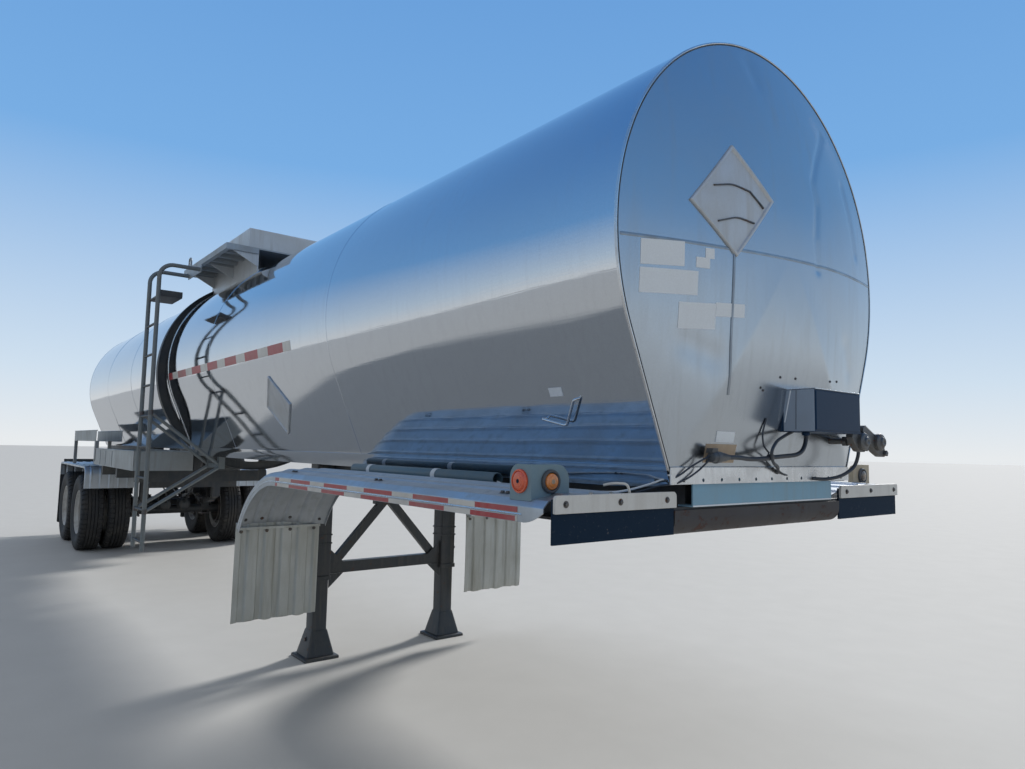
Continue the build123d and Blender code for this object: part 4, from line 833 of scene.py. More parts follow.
patches = (  # Y from and to, Z from and to, skew
    (-0.848, -0.65, 2.184, 2.277, 0.018), (-0.545, -0.5, 2.248, 2.288, 0.003),
    (-0.592, -0.523, 2.207, 2.247, 0.004), (-0.849, -0.581, 2.082, 2.173, 0.02),
    (-0.667, -0.483, 1.97, 2.068, 0.014), (-0.482, -0.322, 2.034, 2.087, 0.012),
)
seamLine = [(-0.389, 2.3), (-0.392, 1.95), (-0.388, 1.74)]
lapLine = [(-0.935, 2.283), (-0.45, 2.305), (0.0, 2.335), (0.45, 2.362), (0.93, 2.384)]
screwPlaces = ((-0.041, 1.835), (0.076, 1.838), (-0.174, 1.783), (-0.155, 1.774), (0.37, 1.847),
               (0.451, 1.853))
headSheets = [headSheet(y1, y2, z1, z2, skew=skew) for y1, y2, z1, z2, skew in patches]
piece("head_patches", headSheets, patchWhite)
piece("head_seam", [headStrip(seamLine, 0.012, 0.0034)], seamMetal)
piece("head_lap", [headStrip(lapLine, 0.013, 0.0014, 90)], seamMetal)
screws = [boltPart(headPoints(np.array(y), np.array(z), 0.0002), (1, 0, 0), 0.004) for y, z in screwPlaces]
piece("head_screws", screws, boltMetal)
print("tank made")

# diamond sign holders, each a blank sheet in a raised frame

holder = {"at": (-0.38, 2.508), "wide": 0.245, "high": 0.229, "tilt": 0.045, "back": 3.5, "side": 1.8,
          "sideHalf": 0.2277,
          "frame": ((1.0, -0.003), (1.0, 0.006), (0.985, 0.01), (0.93, 0.01), (0.915, 0.006), (0.9, 0.0035)),
          "plate": ((0.9, 0.0035), (0.6, 0.0047), (0.3, 0.0059), (0.0, 0.0071)),
          "leaves": (((-0.12, 0.035), (-0.02, 0.06), (0.085, 0.052)),
                     ((-0.105, -0.105), (0.0, -0.07), (0.105, -0.075)),
                     ((0.085, 0.052), (0.155, 0.01), (0.17, 0.0)))}


def onFront(across, up, lift):
    # on the front head, from the holder's middle
    return headPoints(holder["at"][0] + across, holder["at"][1] + up, lift)


def onRear(across, up, lift):
    # the same place on the rear head
    return headPoints(holder["at"][0] + across, holder["at"][1] + up, lift, rear=True)


def onSide(across, up, lift):
    # on the right side, leaning in by the tank's lean
    y = -(float(tankSide(holder["side"])) + up * sin(leanAngle) + lift * cos(leanAngle))
    z = holder["side"] + up * cos(leanAngle) - lift * sin(leanAngle)
    return np.stack([back(holder["back"]) + across, y, z], -1)


def diamondParts(mapping, wide, high, tilt):
    # frame and plate as diamonds at (share of the size, lift); mapping turns (across, up, lift) into points
    corners = np.array([(0, high), (wide, tilt), (0, -high), (-wide, -tilt)])
    share = np.linspace(0, 1, 24, endpoint=False)[:, None]
    border = np.concatenate([a + (b - a) * share for a, b in zip(corners, np.roll(corners, -1, 0))])
    across, up = border.T
    parts = []
    for levels in (holder["frame"], holder["plate"]):
        rows = [mapping(across * size, up * size, lift + 0 * up) for size, lift in levels]
        parts.append(gridPart(np.stack(rows), closeV=True))
    return parts


def leafEdge(line):
    # raised edge of a folded leaf across the front sheet
    route = roundedPath([(a, b, 0) for a, b in line], 0.03, 4)
    section = [(-0.0035, -0.004), (0.0035, -0.004), (0.0025, 0.003), (-0.0025, 0.003)]
    return sweepPart(section, onFront(route[:, 0], route[:, 1], 0.0075), (1, 0, 0.01))


frontHolder = diamondParts(onFront, holder["wide"], holder["high"], holder["tilt"])
rearHolder = diamondParts(onRear, holder["wide"], holder["high"], 0.0)
sideHolder = diamondParts(onSide, holder["sideHalf"], holder["sideHalf"], 0.0)
piece("sign_holders", frontHolder + rearHolder + bothSides(sideHolder), holderMetal, replaces=["placards"],
      sharp=25)
piece("holder_leaves", [leafEdge(line) for line in holder["leaves"]], boltMetal)
print("sign holders made")

# sheet metal: a line with thickness, and the same section carried along a bent path


def sheetLoop(line, thick):
    # closed loop round an open line (across, up), its thickness on the line's right
    line = np.asarray(line, float)
    along = unit(np.gradient(line, axis=0))
    inner = line + thick * np.stack([along[:, 1], -along[:, 0]], 1)
    return np.concatenate([line, inner[::-1]])


def bentSheet(path, loop):
    # path (X, Z) with its outside on the right; loop (Y, height off the path)
    path, loop = np.asarray(path, float), np.asarray(loop, float)
    along = unit(np.gradient(path, axis=0))
    x = path[:, None, 0] + along[:, None, 1] * loop[None, :, 1]
    z = path[:, None, 1] - along[:, None, 0] * loop[None, :, 1]
    y = np.zeros((len(path), 1)) + loop[None, :, 0]
    return cappedPart(np.stack([x, y, z], -1))


def beadHeight(across, middles, half, high):
    # rounded beads pressed up along a sheet, each a squared cosine of the distance from its middle
    total = np.zeros_like(across)
    for middle in middles:
        total += high * np.cos(np.clip((across - middle) / half, -1, 1) * np.pi / 2) ** 2
    return total


# front fenders with pressed beads, tape on the edge, and fluted panels behind

fender = {"inner": 0.615, "innerTop": 1.318, "crownY": 0.93, "crownTop": 1.368, "shoulderY": 1.195,
          "shoulderTop": 1.35, "outer": halfWide - 0.002, "edgeTop": 1.326, "skirt": 1.2725, "sheet": 0.004,
          "start": 0.06, "bendAt": 2.45, "bend": 0.75, "sweep": 60.0, "beads": (0.7, 1.15, 0.1),
          "beadHalf": 0.02, "beadHigh": 0.0075, "clipLong": 0.16, "clipHigh": 0.052}


def crownTop(y):
    # circle through the crown's inner edge, middle and shoulder
    ends = np.array([[fender["inner"], fender["innerTop"]], [fender["shoulderY"], fender["shoulderTop"]]])
    middle = np.array([fender["crownY"], fender["crownTop"]])
    centre = np.linalg.solve(2 * (middle - ends), (middle**2 - ends**2).sum(1))
    radius = np.linalg.norm(middle - centre)
    return centre[1] + np.sqrt(radius**2 - (np.asarray(y) - centre[0]) ** 2)


def levelPath(distances):
    # (X, Z) points on the crown at these distances behind the front rim
    return np.stack([back(distances), np.full(len(distances), fender["crownTop"])], 1)


def clipCorner(part):
    # the skirt's low edge rises in a curve over its front end
    verts, faces = part
    share = np.clip((fender["clipLong"] - (rimX - verts[:, 0])) / 0.12, 0, 1) ** 1.7
    drop = (fender["edgeTop"] - verts[:, 2]) / (fender["edgeTop"] - fender["skirt"])
    onSkirt = (verts[:, 1] > fender["shoulderY"]) & (drop > 0) & (verts[:, 0] > back(fender["clipLong"]))
    verts[:, 2] += np.where(onSkirt, fender["clipHigh"] * share * drop, 0)
    return verts, faces


crownLine = np.linspace(fender["inner"], fender["shoulderY"], 150)
crownBeads = beadHeight(crownLine, np.arange(*fender["beads"]), fender["beadHalf"], fender["beadHigh"])
top = np.stack([crownLine, crownTop(crownLine) - 0.0005 + crownBeads], 1)
lip = [(fender["inner"] + 0.001, fender["innerTop"] - 0.022), (fender["inner"], fender["innerTop"] - 0.01)]
shoulder = [(*top[-1], 0), (fender["outer"], fender["edgeTop"], 0), (fender["outer"], fender["skirt"], 0)]
skirtLine = roundedPath(shoulder, 0.004, 4)[1:, :2]
fenderLine = np.concatenate([lip, top, skirtLine]) - np.array([0, fender["crownTop"]])
straightAt = np.concatenate([np.linspace(fender["start"], 0.17, 12), np.linspace(0.25, fender["bendAt"], 22)])
bendX, bendZ = back(fender["bendAt"]), fender["crownTop"] - fender["bend"]
bend = arcLine((bendX, bendZ), fender["bend"], 90, 90 + fender["sweep"], 26)
fenderPath = np.concatenate([levelPath(straightAt), bend[1:]])
piece("fender_shells", bothSides([clipCorner(bentSheet(fenderPath, sheetLoop(fenderLine, fender["sheet"])))]),
      fenderMetal, replaces=["front_fenders"], sharp=30)

tape = {"from": 0.192, "to": 2.42, "upper": (1.3225, 1.304), "lower": (1.2915, 1.274), "lift": 0.0012,
        "thick": 0.0016, "bead": 0.0042, "beadHigh": 1.298}


def tapePart(high, low):
    # strip of tape down the fender's edge between two heights
    across = fender["outer"] + tape["lift"]
    loop = sheetLoop([(across, high - fender["crownTop"]), (across, low - fender["crownTop"])], tape["thick"])
    return bentSheet(levelPath(np.linspace(tape["from"], tape["to"], 40)), loop)


piece("fender_tape_upper", bothSides([tapePart(*tape["upper"])]), fenderTape)
piece("fender_tape_lower", bothSides([tapePart(*tape["lower"])]), fenderTapeLow)
beadMiddle = np.array([fender["outer"] - 0.0025, tape["beadHigh"] - fender["crownTop"]])
beadLoop = circle(tape["bead"], 8) + beadMiddle
beadPath = fenderPath[fenderPath[:, 0] < back(fender["clipLong"])]
piece("fender_beads", bothSides([bentSheet(beadPath, beadLoop)]), trimBright)

fenderBolt = {"at": (0.33, 0.36, 1.28, 1.32, 2.28, 2.32), "across": (0.65, 0.75, 1.15),
              "endAcross": (0.66, 0.86, 1.05, 1.16), "size": 0.008}
crownPlaces = [(back(at), -y, float(crownTop(y)) + 0.001)
               for at in fenderBolt["at"] for y in fenderBolt["across"]]
endAngle, endPlaces = radians(fender["sweep"] - 3), []
for y in fenderBolt["endAcross"]:
    reach = fender["bend"] + float(crownTop(y)) - fender["crownTop"] - fender["sheet"]
    endPlaces.append((bendX - reach * sin(endAngle), -y, bendZ + reach * cos(endAngle)))
fenderBolts = boltParts(crownPlaces, (0, 0, 1), fenderBolt["size"])
fenderBolts += boltParts(endPlaces, (sin(endAngle), 0, -cos(endAngle)), fenderBolt["size"])
piece("fender_bolts", bothSides(fenderBolts), boltMetal)

tails = {"front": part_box("fender_tails")[1].x - 0.046, "inner": 0.63, "outer": 1.205, "low": 0.347,
         "top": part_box("fender_tails")[1].z, "first": 0.69, "pitch": 0.114, "half": 0.022, "flank": 0.014,
         "deep": 0.014, "seatDeep": 0.046, "seatInner": 0.64, "seatOuter": 1.195,
         "bolts": (0.67, 0.84, 1.0, 1.17)}


def fluteDepth(y):
    # five flutes: 1 near the middle of each, falling smoothly to 0 over its flank
    away = np.min(np.abs(y[:, None] - (tails["first"] + tails["pitch"] * np.arange(5))[None]), axis=1)
    share = np.clip((tails["half"] + tails["flank"] / 2 - away) / tails["flank"], 0, 1)
    return share * share * (3 - 2 * share)


def tailPanel(side):
    # fluted sheet that curls back at its foot, with an uneven low edge
    y = np.linspace(tails["inner"], tails["outer"], 150)
    z = np.linspace(tails["low"], tails["top"], 30)
    loop = sheetLoop(np.stack([y, -tails["deep"] * fluteDepth(y)], 1)[::-1], 0.003)
    curl = 0.004 * np.sin(z * 5.2 + side) + 0.006 * np.clip((tails["low"] + 0.1 - z) / 0.1, 0, 1) ** 2
    x = tails["front"] - 0.005 + loop[None, :, 1] - curl[:, None]
    low = 0.003 * np.sin(31 * loop[:, 0]) + 0.002 * np.sin(83 * loop[:, 0] + side)
    high = z[:, None] + (z[:, None] < tails["low"] + 0.001) * (low + 0.005)[None]
    return cappedPart(np.stack([x, side * loop[None, :, 0] + 0 * x, high], -1))


seatDeep = tails["seatDeep"]
tailSeat = boxPart((tails["front"], tails["front"] + seatDeep - 0.006),
                   (tails["seatInner"], tails["seatOuter"]), (tails["top"] - seatDeep, tails["top"] - 0.03))
piece("tail_panels", [tailPanel(-1), tailPanel(1)] + bothSides([tailSeat]), panelMetal,
      replaces=["fender_tails"], sharp=50)
tailPlaces = [(tails["front"] + 0.001, -y, tails["top"] - 0.06) for y in tails["bolts"]]
piece("tail_bolts", bothSides(boltParts(tailPlaces, (1, 0, 0), 0.008)), boltMetal)
print("fenders made")

# flap bars, flaps, brackets and lamps at the front corners

flapBar = {"low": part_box("flap_bars")[0].z, "high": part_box("flap_bars")[1].z, "inner": 0.615, "thick": 0.012,
           "radii": (0.003, 0.003, 0.018, 0.012), "bolts": (0.67, 0.917, 1.173), "boltHigh": 1.342}
frontFlap = {"low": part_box("front_flaps")[0].z + 0.001, "high": flapBar["high"] - 0.013, "inner": 0.6175,
             "at": back(0.017), "thick": 0.009}


def roundedPanel(y1, y2, z1, z2, radii):
    # outline (Y, Z) with a radius at each corner: low y1, low y2, high y2, high y1
    arcs = []
    for (y, z), radius, start in zip(((y1, z1), (y2, z1), (y2, z2), (y1, z2)), radii, (180, 270, 0, 90)):
        inY, inZ = (radius if y == y1 else -radius), (radius if z == z1 else -radius)
        arcs.append(arcLine((y + inY, z + inZ), radius, start, start + 90, 7))
    return np.concatenate(arcs)


def rubberSheet(y1, y2, z1, z2, x, thick, bow, rounding=0.012, steps=26):
    # hanging flap with a slow bow, its lower corners raised by rounding
    y = np.linspace(y1, y2, steps)[:, None] + np.zeros((1, steps))
    z = np.linspace(z2, z1, steps)[None] + np.zeros((steps, 1))
    inset = np.clip((np.abs(y - (y1 + y2) / 2) - abs(y2 - y1) / 2 + 0.03) / 0.03, 0, 1)
    z = z + (z - z2) / (z1 - z2) * rounding * inset**2
    sway = bow * np.sin(7.0 * y + 1.0) * ((z2 - z) / (z2 - z1)) ** 2
    return layersPart([np.stack([x + sway + side * thick / 2, y, z], -1) for side in (1, -1)])


barOutline = roundedPanel(-halfWide, -flapBar["inner"], flapBar["low"], flapBar["high"], flapBar["radii"])
barPlate = prismPart(barOutline, (back(flapBar["thick"]), 0, 0), (0, 1, 0), (0, 0, 1), flapBar["thick"])
piece("flap_bar_plates", bothSides([barPlate]), whiteBar, replaces=["flap_bars"],
      bevel=0.0015)
barPlaces = [(rimX - 0.0005, -y, flapBar["boltHigh"]) for y in flapBar["bolts"]]
piece("flap_bar_bolts", bothSides(boltParts(barPlaces, (1, 0, 0), 0.0078)), boltMetal)
frontSheet = rubberSheet(-halfWide + 0.001, -frontFlap["inner"], frontFlap["low"], frontFlap["high"],
                         frontFlap["at"], frontFlap["thick"], 0.0, 0.0)
piece("front_flap_sheets", bothSides([frontSheet]), flapNavy, replaces=["front_flaps"])

lamp = {"high": 1.408, "sideAt": back(0.197), "sideFace": -1.203, "frontAt": back(0.139), "frontY": -1.118}
sideLens = [(0.0, 0.034), (0.005, 0.034), (0.0075, 0.031), (0.008, 0.027), (0.0095, 0.026), (0.01, 0.02),
            (0.0112, 0.019), (0.0115, 0.01), (0.0118, 0.0)]
sideRing = [(0.0, 0.041), (0.006, 0.041), (0.008, 0.039), (0.008, 0.035), (0.005, 0.034), (0.0, 0.034)]
sideDot = [(0.0105, 0.0078), (0.0122, 0.007), (0.0125, 0.0)]
frontLens = [(0.0, 0.029), (0.008, 0.029), (0.0125, 0.026), (0.014, 0.019), (0.0158, 0.018), (0.017, 0.008),
             (0.0175, 0.0)]
frontDot = [(0.016, 0.0085), (0.0175, 0.008), (0.018, 0.0)]
gasket = [(0.0, 0.041), (0.007, 0.041), (0.011, 0.038), (0.012, 0.034), (0.0105, 0.031), (0.006, 0.03),
          (0.0, 0.03)]
bracket = {"rear": back(0.253), "inner": -1.03, "top": 1.466, "sheet": 0.004, "rearRound": 0.045,
           "innerRound": 0.055}


def bracketParts():
    # side plate with a round rear top corner and front plate with a round inner one, standing on the crown
    low = float(crownTop(1.16)) - 0.012
    front, face, top, sheet = lamp["frontAt"], lamp["sideFace"], bracket["top"], bracket["sheet"]
    rear, rearRound = bracket["rear"], bracket["rearRound"]
    inner, innerRound = bracket["inner"], bracket["innerRound"]
    sideEnd = front - sheet - 0.0002  # just short of the front plate
    rearArc = arcLine((rear + rearRound, top - rearRound), rearRound, 90, 180, 12)
    sideLine = np.vstack([(sideEnd, top - 0.0003), rearArc, (rear, low), (sideEnd, low)])
    innerArc = arcLine((inner - innerRound, top - innerRound), innerRound, 90, 0, 12)
    feet = np.linspace(inner, face, 12)
    frontLine = np.vstack([(face, top), innerArc, np.column_stack([feet, crownTop(-feet) - 0.004])])
    return [prismPart(sideLine, (0, face + sheet, 0), (1, 0, 0), (0, 0, 1), sheet),
            prismPart(frontLine, (front - sheet, 0, 0), (0, 1, 0), (0, 0, 1), sheet)]


def sideLamp(profile, turns=48):
    # turned part of the lamp that looks sideways
    return lathePart(profile, (lamp["sideAt"], lamp["sideFace"], lamp["high"]), (0, -1, 0), turns)


def frontLamp(profile, turns=48):
    # turned part of the lamp that looks ahead
    return lathePart(profile, (lamp["frontAt"], lamp["frontY"], lamp["high"]), (1, 0, 0), turns)


# the right bracket's finish is a darker blue-grey of painted shade
piece("bracket_plate_right", bracketParts(), bracketShadeGrey, replaces=["marker_brackets"])
piece("bracket_plate_left", [mirrored(part) for part in bracketParts()], beigePaint)
piece("side_lenses", bothSides([sideLamp(sideLens)]), orangeLens, replaces=["marker_lamps"])
piece("side_lens_rings", bothSides([sideLamp(sideRing)]), orangeLens)
piece("front_lens_right", [frontLamp(frontLens)], amberLens)
piece("front_lens_left", [mirrored(frontLamp(frontLens))], dullLens)
piece("lamp_gaskets", bothSides([frontLamp(gasket)]), boxPlastic, replaces=["lamp_grommets"])
piece("lens_dots", bothSides([sideLamp(sideDot, 20)]), flapNavy)
piece("lens_buttons", bothSides([frontLamp(frontDot, 20)]), plateRust)
print("front corners made")

# landing legs: square tubes in each other, collars, flared feet and shoes

leg = {"at": back(3.294), "side": -0.54, "upper": 0.065, "lower": 0.056, "split": 0.555, "top": 1.4205,
       "shoe": 0.13, "shoeThick": 0.022, "skirt": 0.1025, "skirtTop": 0.19, "collar": 0.071, "plateX": 0.09,
       "plateY": 0.085, "plateThick": 0.008, "bands": (0.8, 0.86), "bandHalf": 0.068, "bandWide": 0.012,
       "boltOff": 0.045, "sideBolts": (0.7, 1.05, 1.15, 1.22), "frontBolts": (1.3, 1.36)}


def squareLoop(half, radius=0.012):
    # square with an arc of five points at each corner
    straight = half - radius
    return np.concatenate([arcLine((a * straight, b * straight), radius, start, start + 90, 5)
                           for a, b, start in ((1, 1, 0), (-1, 1, 90), (-1, -1, 180), (1, -1, 270))])


def legStack(levels):
    # square rings at (height, half width), capped at both ends
    middle = np.array([leg["at"], leg["side"]])
    rings = [np.column_stack([squareLoop(half) + middle, np.full(20, z)]) for z, half in levels]
    return cappedPart(np.stack(rings))


upperLevels = [(leg["top"], leg["upper"]), (leg["split"] + 0.02, leg["upper"]),
               (leg["split"] + 0.018, leg["collar"]), (leg["split"] - 0.012, leg["collar"]),
               (leg["split"] - 0.014, leg["lower"] + 0.003)]
lowerLevels = [(leg["split"], leg["lower"]), (leg["skirtTop"] + 0.012, leg["lower"]),
               (leg["skirtTop"], leg["lower"] + 0.004)]
skirtLevels = [(leg["skirtTop"] + 0.004, leg["lower"] + 0.005), (leg["shoeThick"], leg["skirt"])]
shoeLevels = [(leg["shoeThick"], leg["shoe"] - 0.01), (leg["shoeThick"] - 0.004, leg["shoe"] - 0.002),
              (0.0, leg["shoe"])]
legParts = [legStack(levels) for levels in (upperLevels, lowerLevels, skirtLevels, shoeLevels)]
legParts.append(boxPart(around(leg["at"], leg["plateX"]), around(leg["side"], leg["plateY"]),
                        (leg["top"] - leg["plateThick"], leg["top"])))
for high in leg["bands"]:
    legParts.append(boxPart(around(leg["at"], leg["bandHalf"]), around(leg["side"], leg["bandHalf"]),
                            (high, high + leg["bandWide"])))
piece("leg_posts", bothSides(legParts), legPaint, replaces=["landing_legs"], bevel=0.0025)
legBolts = [boltPart((leg["at"], leg["side"] - 0.0725, leg["skirtTop"] - 0.06), (0, -1, 0), 0.014)]
for off in around(0, leg["boltOff"]):
    sidePlaces = [(leg["at"] + off, leg["side"] - leg["upper"], z) for z in leg["sideBolts"]]
    frontPlaces = [(leg["at"] + leg["upper"], leg["side"] + off, z) for z in leg["frontBolts"]]
    legBolts += boltParts(sidePlaces, (0, -1, 0), 0.01) + boltParts(frontPlaces, (1, 0, 0), 0.009)
piece("leg_bolts", bothSides(legBolts), boltMetal)
gussets = []
for z, rise in ((0.66, 0.1), (0.58, -0.1)):
    foot = (leg["at"] + 0.031, -0.475, z)
    gussets.append(prismPart([(0, 0), (0.11, 0), (0, rise)], foot, (0, 1, 0), (0, 0, 1), 0.006))
piece("brace_gussets", bothSides(gussets), legPaint)
print("legs made")

# wheels: treaded twin tyres, dished discs back to back, hub and drum

axles = {"front": back(9.88), "rear": back(11.12)}
wheel = {"radius": 0.515, "outer": halfWide - 0.14, "inner": halfWide - 0.464, "middle": halfWide - 0.302,
         "pitches": 48, "grooves": (0.062, 0.02, -0.02, -0.062), "groove": 0.013, "grooveHalf": 0.0052,
         "notch": 0.011, "zigzag": 0.0024, "crown": ((0.1, 0.514), (0.085, 0.5147)),
         "steps": (0.0, 0.03, 0.24, 0.27, 0.62), "notched": (0, 1, 1, 0, 0), "shifted": (1, 1, -1, -1, 0)}
tyreSide = [(0.096, 0.284), (0.104, 0.287), (0.11, 0.296), (0.113, 0.308), (0.1155, 0.318), (0.1185, 0.32),
            (0.1195, 0.325), (0.118, 0.328), (0.1235, 0.348), (0.13, 0.374), (0.1345, 0.393), (0.1365, 0.396),
            (0.137, 0.401), (0.136, 0.404), (0.1385, 0.422), (0.1392, 0.44), (0.137, 0.46), (0.1345, 0.474),
            (0.129, 0.486), (0.1235, 0.497), (0.118, 0.505), (0.11, 0.5105)]
disc = {"inner": 0.11, "outer": 0.281, "holes": 5, "holeAt": 0.206, "holeRadius": 0.028, "thick": 0.011,
        "lip": 0.004, "lipWide": 0.008, "flareFrom": 0.232, "flareLong": 0.049, "flareDeep": 0.06}
barrel = [(-0.115, 0.294), (-0.112, 0.299), (-0.107, 0.297), (-0.105, 0.288), (-0.088, 0.2845),
          (-0.07, 0.262), (-0.03, 0.257), (0.03, 0.257), (0.07, 0.262), (0.088, 0.2845), (0.105, 0.288),
          (0.107, 0.297), (0.112, 0.299), (0.115, 0.294), (0.111, 0.286), (0.09, 0.2775), (0.072, 0.2555),
          (0.03, 0.2505), (-0.03, 0.2505), (-0.072, 0.2555), (-0.09, 0.2775), (-0.111, 0.286),
          (-0.115, 0.294)]
hubLine = [(1.097, 0.0), (1.097, 0.0387), (0.745, 0.0387), (0.745, 0.1), (0.758, 0.111), (0.9, 0.111),
           (0.934, 0.111), (0.934, 0.14), (0.944, 0.14), (0.948, 0.134), (0.95, 0.112), (0.985, 0.106),
           (1.058, 0.098), (1.064, 0.092), (1.07, 0.092), (1.08, 0.091), (1.083, 0.086), (1.085, 0.072),
           (1.1, 0.07), (1.118, 0.062), (1.126, 0.045), (1.129, 0.02), (1.13, 0.0)]
drumLine = [(0.636, 0.19), (0.636, 0.203), (0.64, 0.206), (0.66, 0.206), (0.662, 0.202), (0.76, 0.202),
            (0.762, 0.206), (0.78, 0.205), (0.785, 0.198), (0.785, 0.111), (0.772, 0.111), (0.772, 0.188),
            (0.765, 0.19), (0.636, 0.19)]
nutLine = [(0, 0), (0, 0.019), (0.004, 0.019), (0.005, 0.0165), (0.026, 0.0165), (0.029, 0.0135),
           (0.029, 0.0)]
studLine = [(0.02, 0.0), (0.02, 0.0105), (0.042, 0.0105), (0.044, 0.009), (0.044, 0)]
hub = {"nuts": 10, "nutsAt": 0.1675, "nutTurn": 0.1, "nutFace": 0.013, "bolts": 8, "boltsAt": 0.08,
       "boltFace": 1.0835, "boltSize": 0.0055}


def tyreLine():
    # closed section: sidewall, crown with its four grooves, far sidewall, and the bore
    grooves = [(middle + offset * wheel["grooveHalf"], wheel["radius"] - drop * wheel["groove"])
               for middle in wheel["grooves"] for offset, drop in ((1.0, 0), (0.7, 1), (-0.7, 1), (-1.0, 0))]
    near = [*tyreSide, *wheel["crown"]]
    far = [(-half, radius) for half, radius in near[::-1]]
    return np.array([*near, *grooves, *far, (-0.088, 0.3), (0.088, 0.3)])


def tyrePart(x, middle):
    # the section turned in steps: lower between the shoulder blocks, its centre grooves shifted to and fro
    line = tyreLine()
    turns = (np.arange(wheel["pitches"])[:, None] + np.array(wheel["steps"])[None]) / wheel["pitches"]
    angle = turns.ravel() * 2 * np.pi
    down = np.tile(wheel["notched"], wheel["pitches"])[:, None]
    shift = wheel["zigzag"] * np.tile(wheel["shifted"], wheel["pitches"])[:, None]
    shoulder = (np.abs(line[:, 0]) > 0.084) & (line[:, 1] > 0.484)
    centreGrooves = (np.abs(np.abs(line[:, 0]) - 0.02) < 0.007) & (line[:, 1] > 0.49)
    radius = line[None, :, 1] - wheel["notch"] * down * shoulder[None]
    offset = (line[None, :, 0] + shift * centreGrooves[None]) * (1 - 0.05 * down * shoulder[None])
    points = np.stack([x + radius * np.cos(angle)[:, None], middle + offset,
                       wheel["radius"] + radius * np.sin(angle)[:, None]], -1)
    return gridPart(points, closeU=True, closeV=True)


def discPart(x, middle, facing):
    # one disc in sectors, each a sheet between its border and its hand hole, dished towards its own tyre
    inner, outer, centre = disc["inner"], disc["outer"], np.array([disc["holeAt"], 0])
    wide = np.linspace(-np.pi / disc["holes"], np.pi / disc["holes"], 33)
    radial = np.linspace(outer, inner, 13)[1:-1]
    border = np.concatenate([np.stack([outer * np.cos(wide), outer * np.sin(wide)], 1),
                             np.stack([radial * cos(wide[-1]), radial * sin(wide[-1])], 1),
                             np.stack([inner * np.cos(wide[::-1]), inner * np.sin(wide[::-1])], 1),
                             np.stack([radial[::-1] * cos(wide[0]), radial[::-1] * sin(wide[0])], 1)])
    hole = centre + disc["holeRadius"] * unit(border - centre)
    rows = [hole + (border - hole) * share for share in (1.0, 0.72, 0.45, 0.22, 0.08, 0.0)]
    flat = np.stack(rows + rows[::-1])
    lift = np.repeat([disc["thick"], 0.0], len(rows))[:, None]
    away = np.hypot(flat[..., 0] - centre[0], flat[..., 1]) - disc["holeRadius"]
    lip = disc["lip"] * np.exp(-((away / disc["lipWide"]) ** 2))
    flare = np.clip((np.hypot(flat[..., 0], flat[..., 1]) - disc["flareFrom"]) / disc["flareLong"], 0, 1)
    y = middle + facing * (0.002 + lift + lip + disc["flareDeep"] * flare**2 * (3 - 2 * flare))
    parts = []
    for angle in np.arange(disc["holes"]) * 2 * np.pi / disc["holes"] + 0.3:
        spun = flat @ np.array([[cos(angle), sin(angle)], [-sin(angle), cos(angle)]])
        grid = np.stack([x + spun[..., 0], y, wheel["radius"] + spun[..., 1]], -1)
        parts.append(gridPart(grid, closeV=True))
        for arc in (slice(0, 33), slice(44, 77)):
            parts.append(gridPart(np.stack([grid[0, arc], grid[-1, arc]])))
    return parts


def wheelCircle(x, y, radius, count, turned=0.0):
    # places evenly round an axle
    across, up = circle(radius, count, turned).T
    return np.stack([x + across, np.full(count, y), wheel["radius"] + up], 1)


def hubParts(x, side):
    # hub and drum turned about the axle, the wheel nuts on their studs, and the cap's bolts
    at, axis = (x, 0, wheel["radius"]), (0, side, 0)
    parts = [lathePart(hubLine, at, axis, 48), lathePart(drumLine, at, axis, 64)]
    face = side * (wheel["middle"] + hub["nutFace"])
    for nutAt in wheelCircle(x, face, hub["nutsAt"], hub["nuts"], hub["nutTurn"]):
        parts += [lathePart(nutLine, nutAt, axis, 6), lathePart(studLine, nutAt, axis, 12)]
    capPlaces = wheelCircle(x, side * hub["boltFace"], hub["boltsAt"], hub["bolts"])
    return parts + boltParts(capPlaces, axis, hub["boltSize"])


for placeName, x in axles.items():
    for sideName, side in (("right", -1), ("left", 1)):
        which, at, axis = f"{placeName}_{sideName}", (x, 0, wheel["radius"]), (0, side, 0)
        body = f"wheels_{which}"
        tyres = [tyrePart(x, side * wheel[row]) for row in ("outer", "inner")]
        piece(f"treads_{which}", tyres, tyreRubber, body, [f"tyres_{which}"], sharp=28)
        steel = [lathePart(np.array(barrel) + (wheel[row], 0), at, axis, 72) for row in ("outer", "inner")]
        steel += discPart(x, side * wheel["middle"], side) + discPart(x, side * wheel["middle"], -side)
        piece(f"discs_{which}", steel, rimPaint, body, [f"rims_{which}"], sharp=40)
        piece(f"hub_{which}", hubParts(x, side), hubPaint, body)
print("wheels made")

# springs in leaves with their clamps, brake chambers and air tanks

spring = {"side": -0.48, "half": 0.038, "leafHalf": 0.0044, "reach": 0.52, "top": 0.6585, "rise": 0.06,
          "leaf": 0.01, "leaves": (0.52, 0.512, 0.43, 0.34, 0.25, 0.16), "clips": 0.33, "plateX": 0.075,
          "plateY": 0.056, "lowPlate": (0.436, 0.4505), "boltsX": 0.052, "boltsY": 0.047, "boltsLow": 0.425,
          "boltsTop": 0.682, "nuts": 0.4355}


def springTop(run):
    # top of the spring at a distance from its axle, a parabola
    return spring["top"] + spring["rise"] * (run / spring["reach"]) ** 2


def leafParts(x):
    # leaves under each other, each an even thickness below the spring's top
    half, thin = spring["half"], spring["leafHalf"]
    parts = []
    for index, reach in enumerate(spring["leaves"]):
        run = np.linspace(-reach, reach, 25)
        high = springTop(run) - spring["leaf"] * (index + 0.5)
        path = np.column_stack([x + run, np.full(25, spring["side"]), high])
        parts.append(sweepPart([(-half, -thin), (half, -thin), (half, thin), (-half, thin)], path))
    return parts


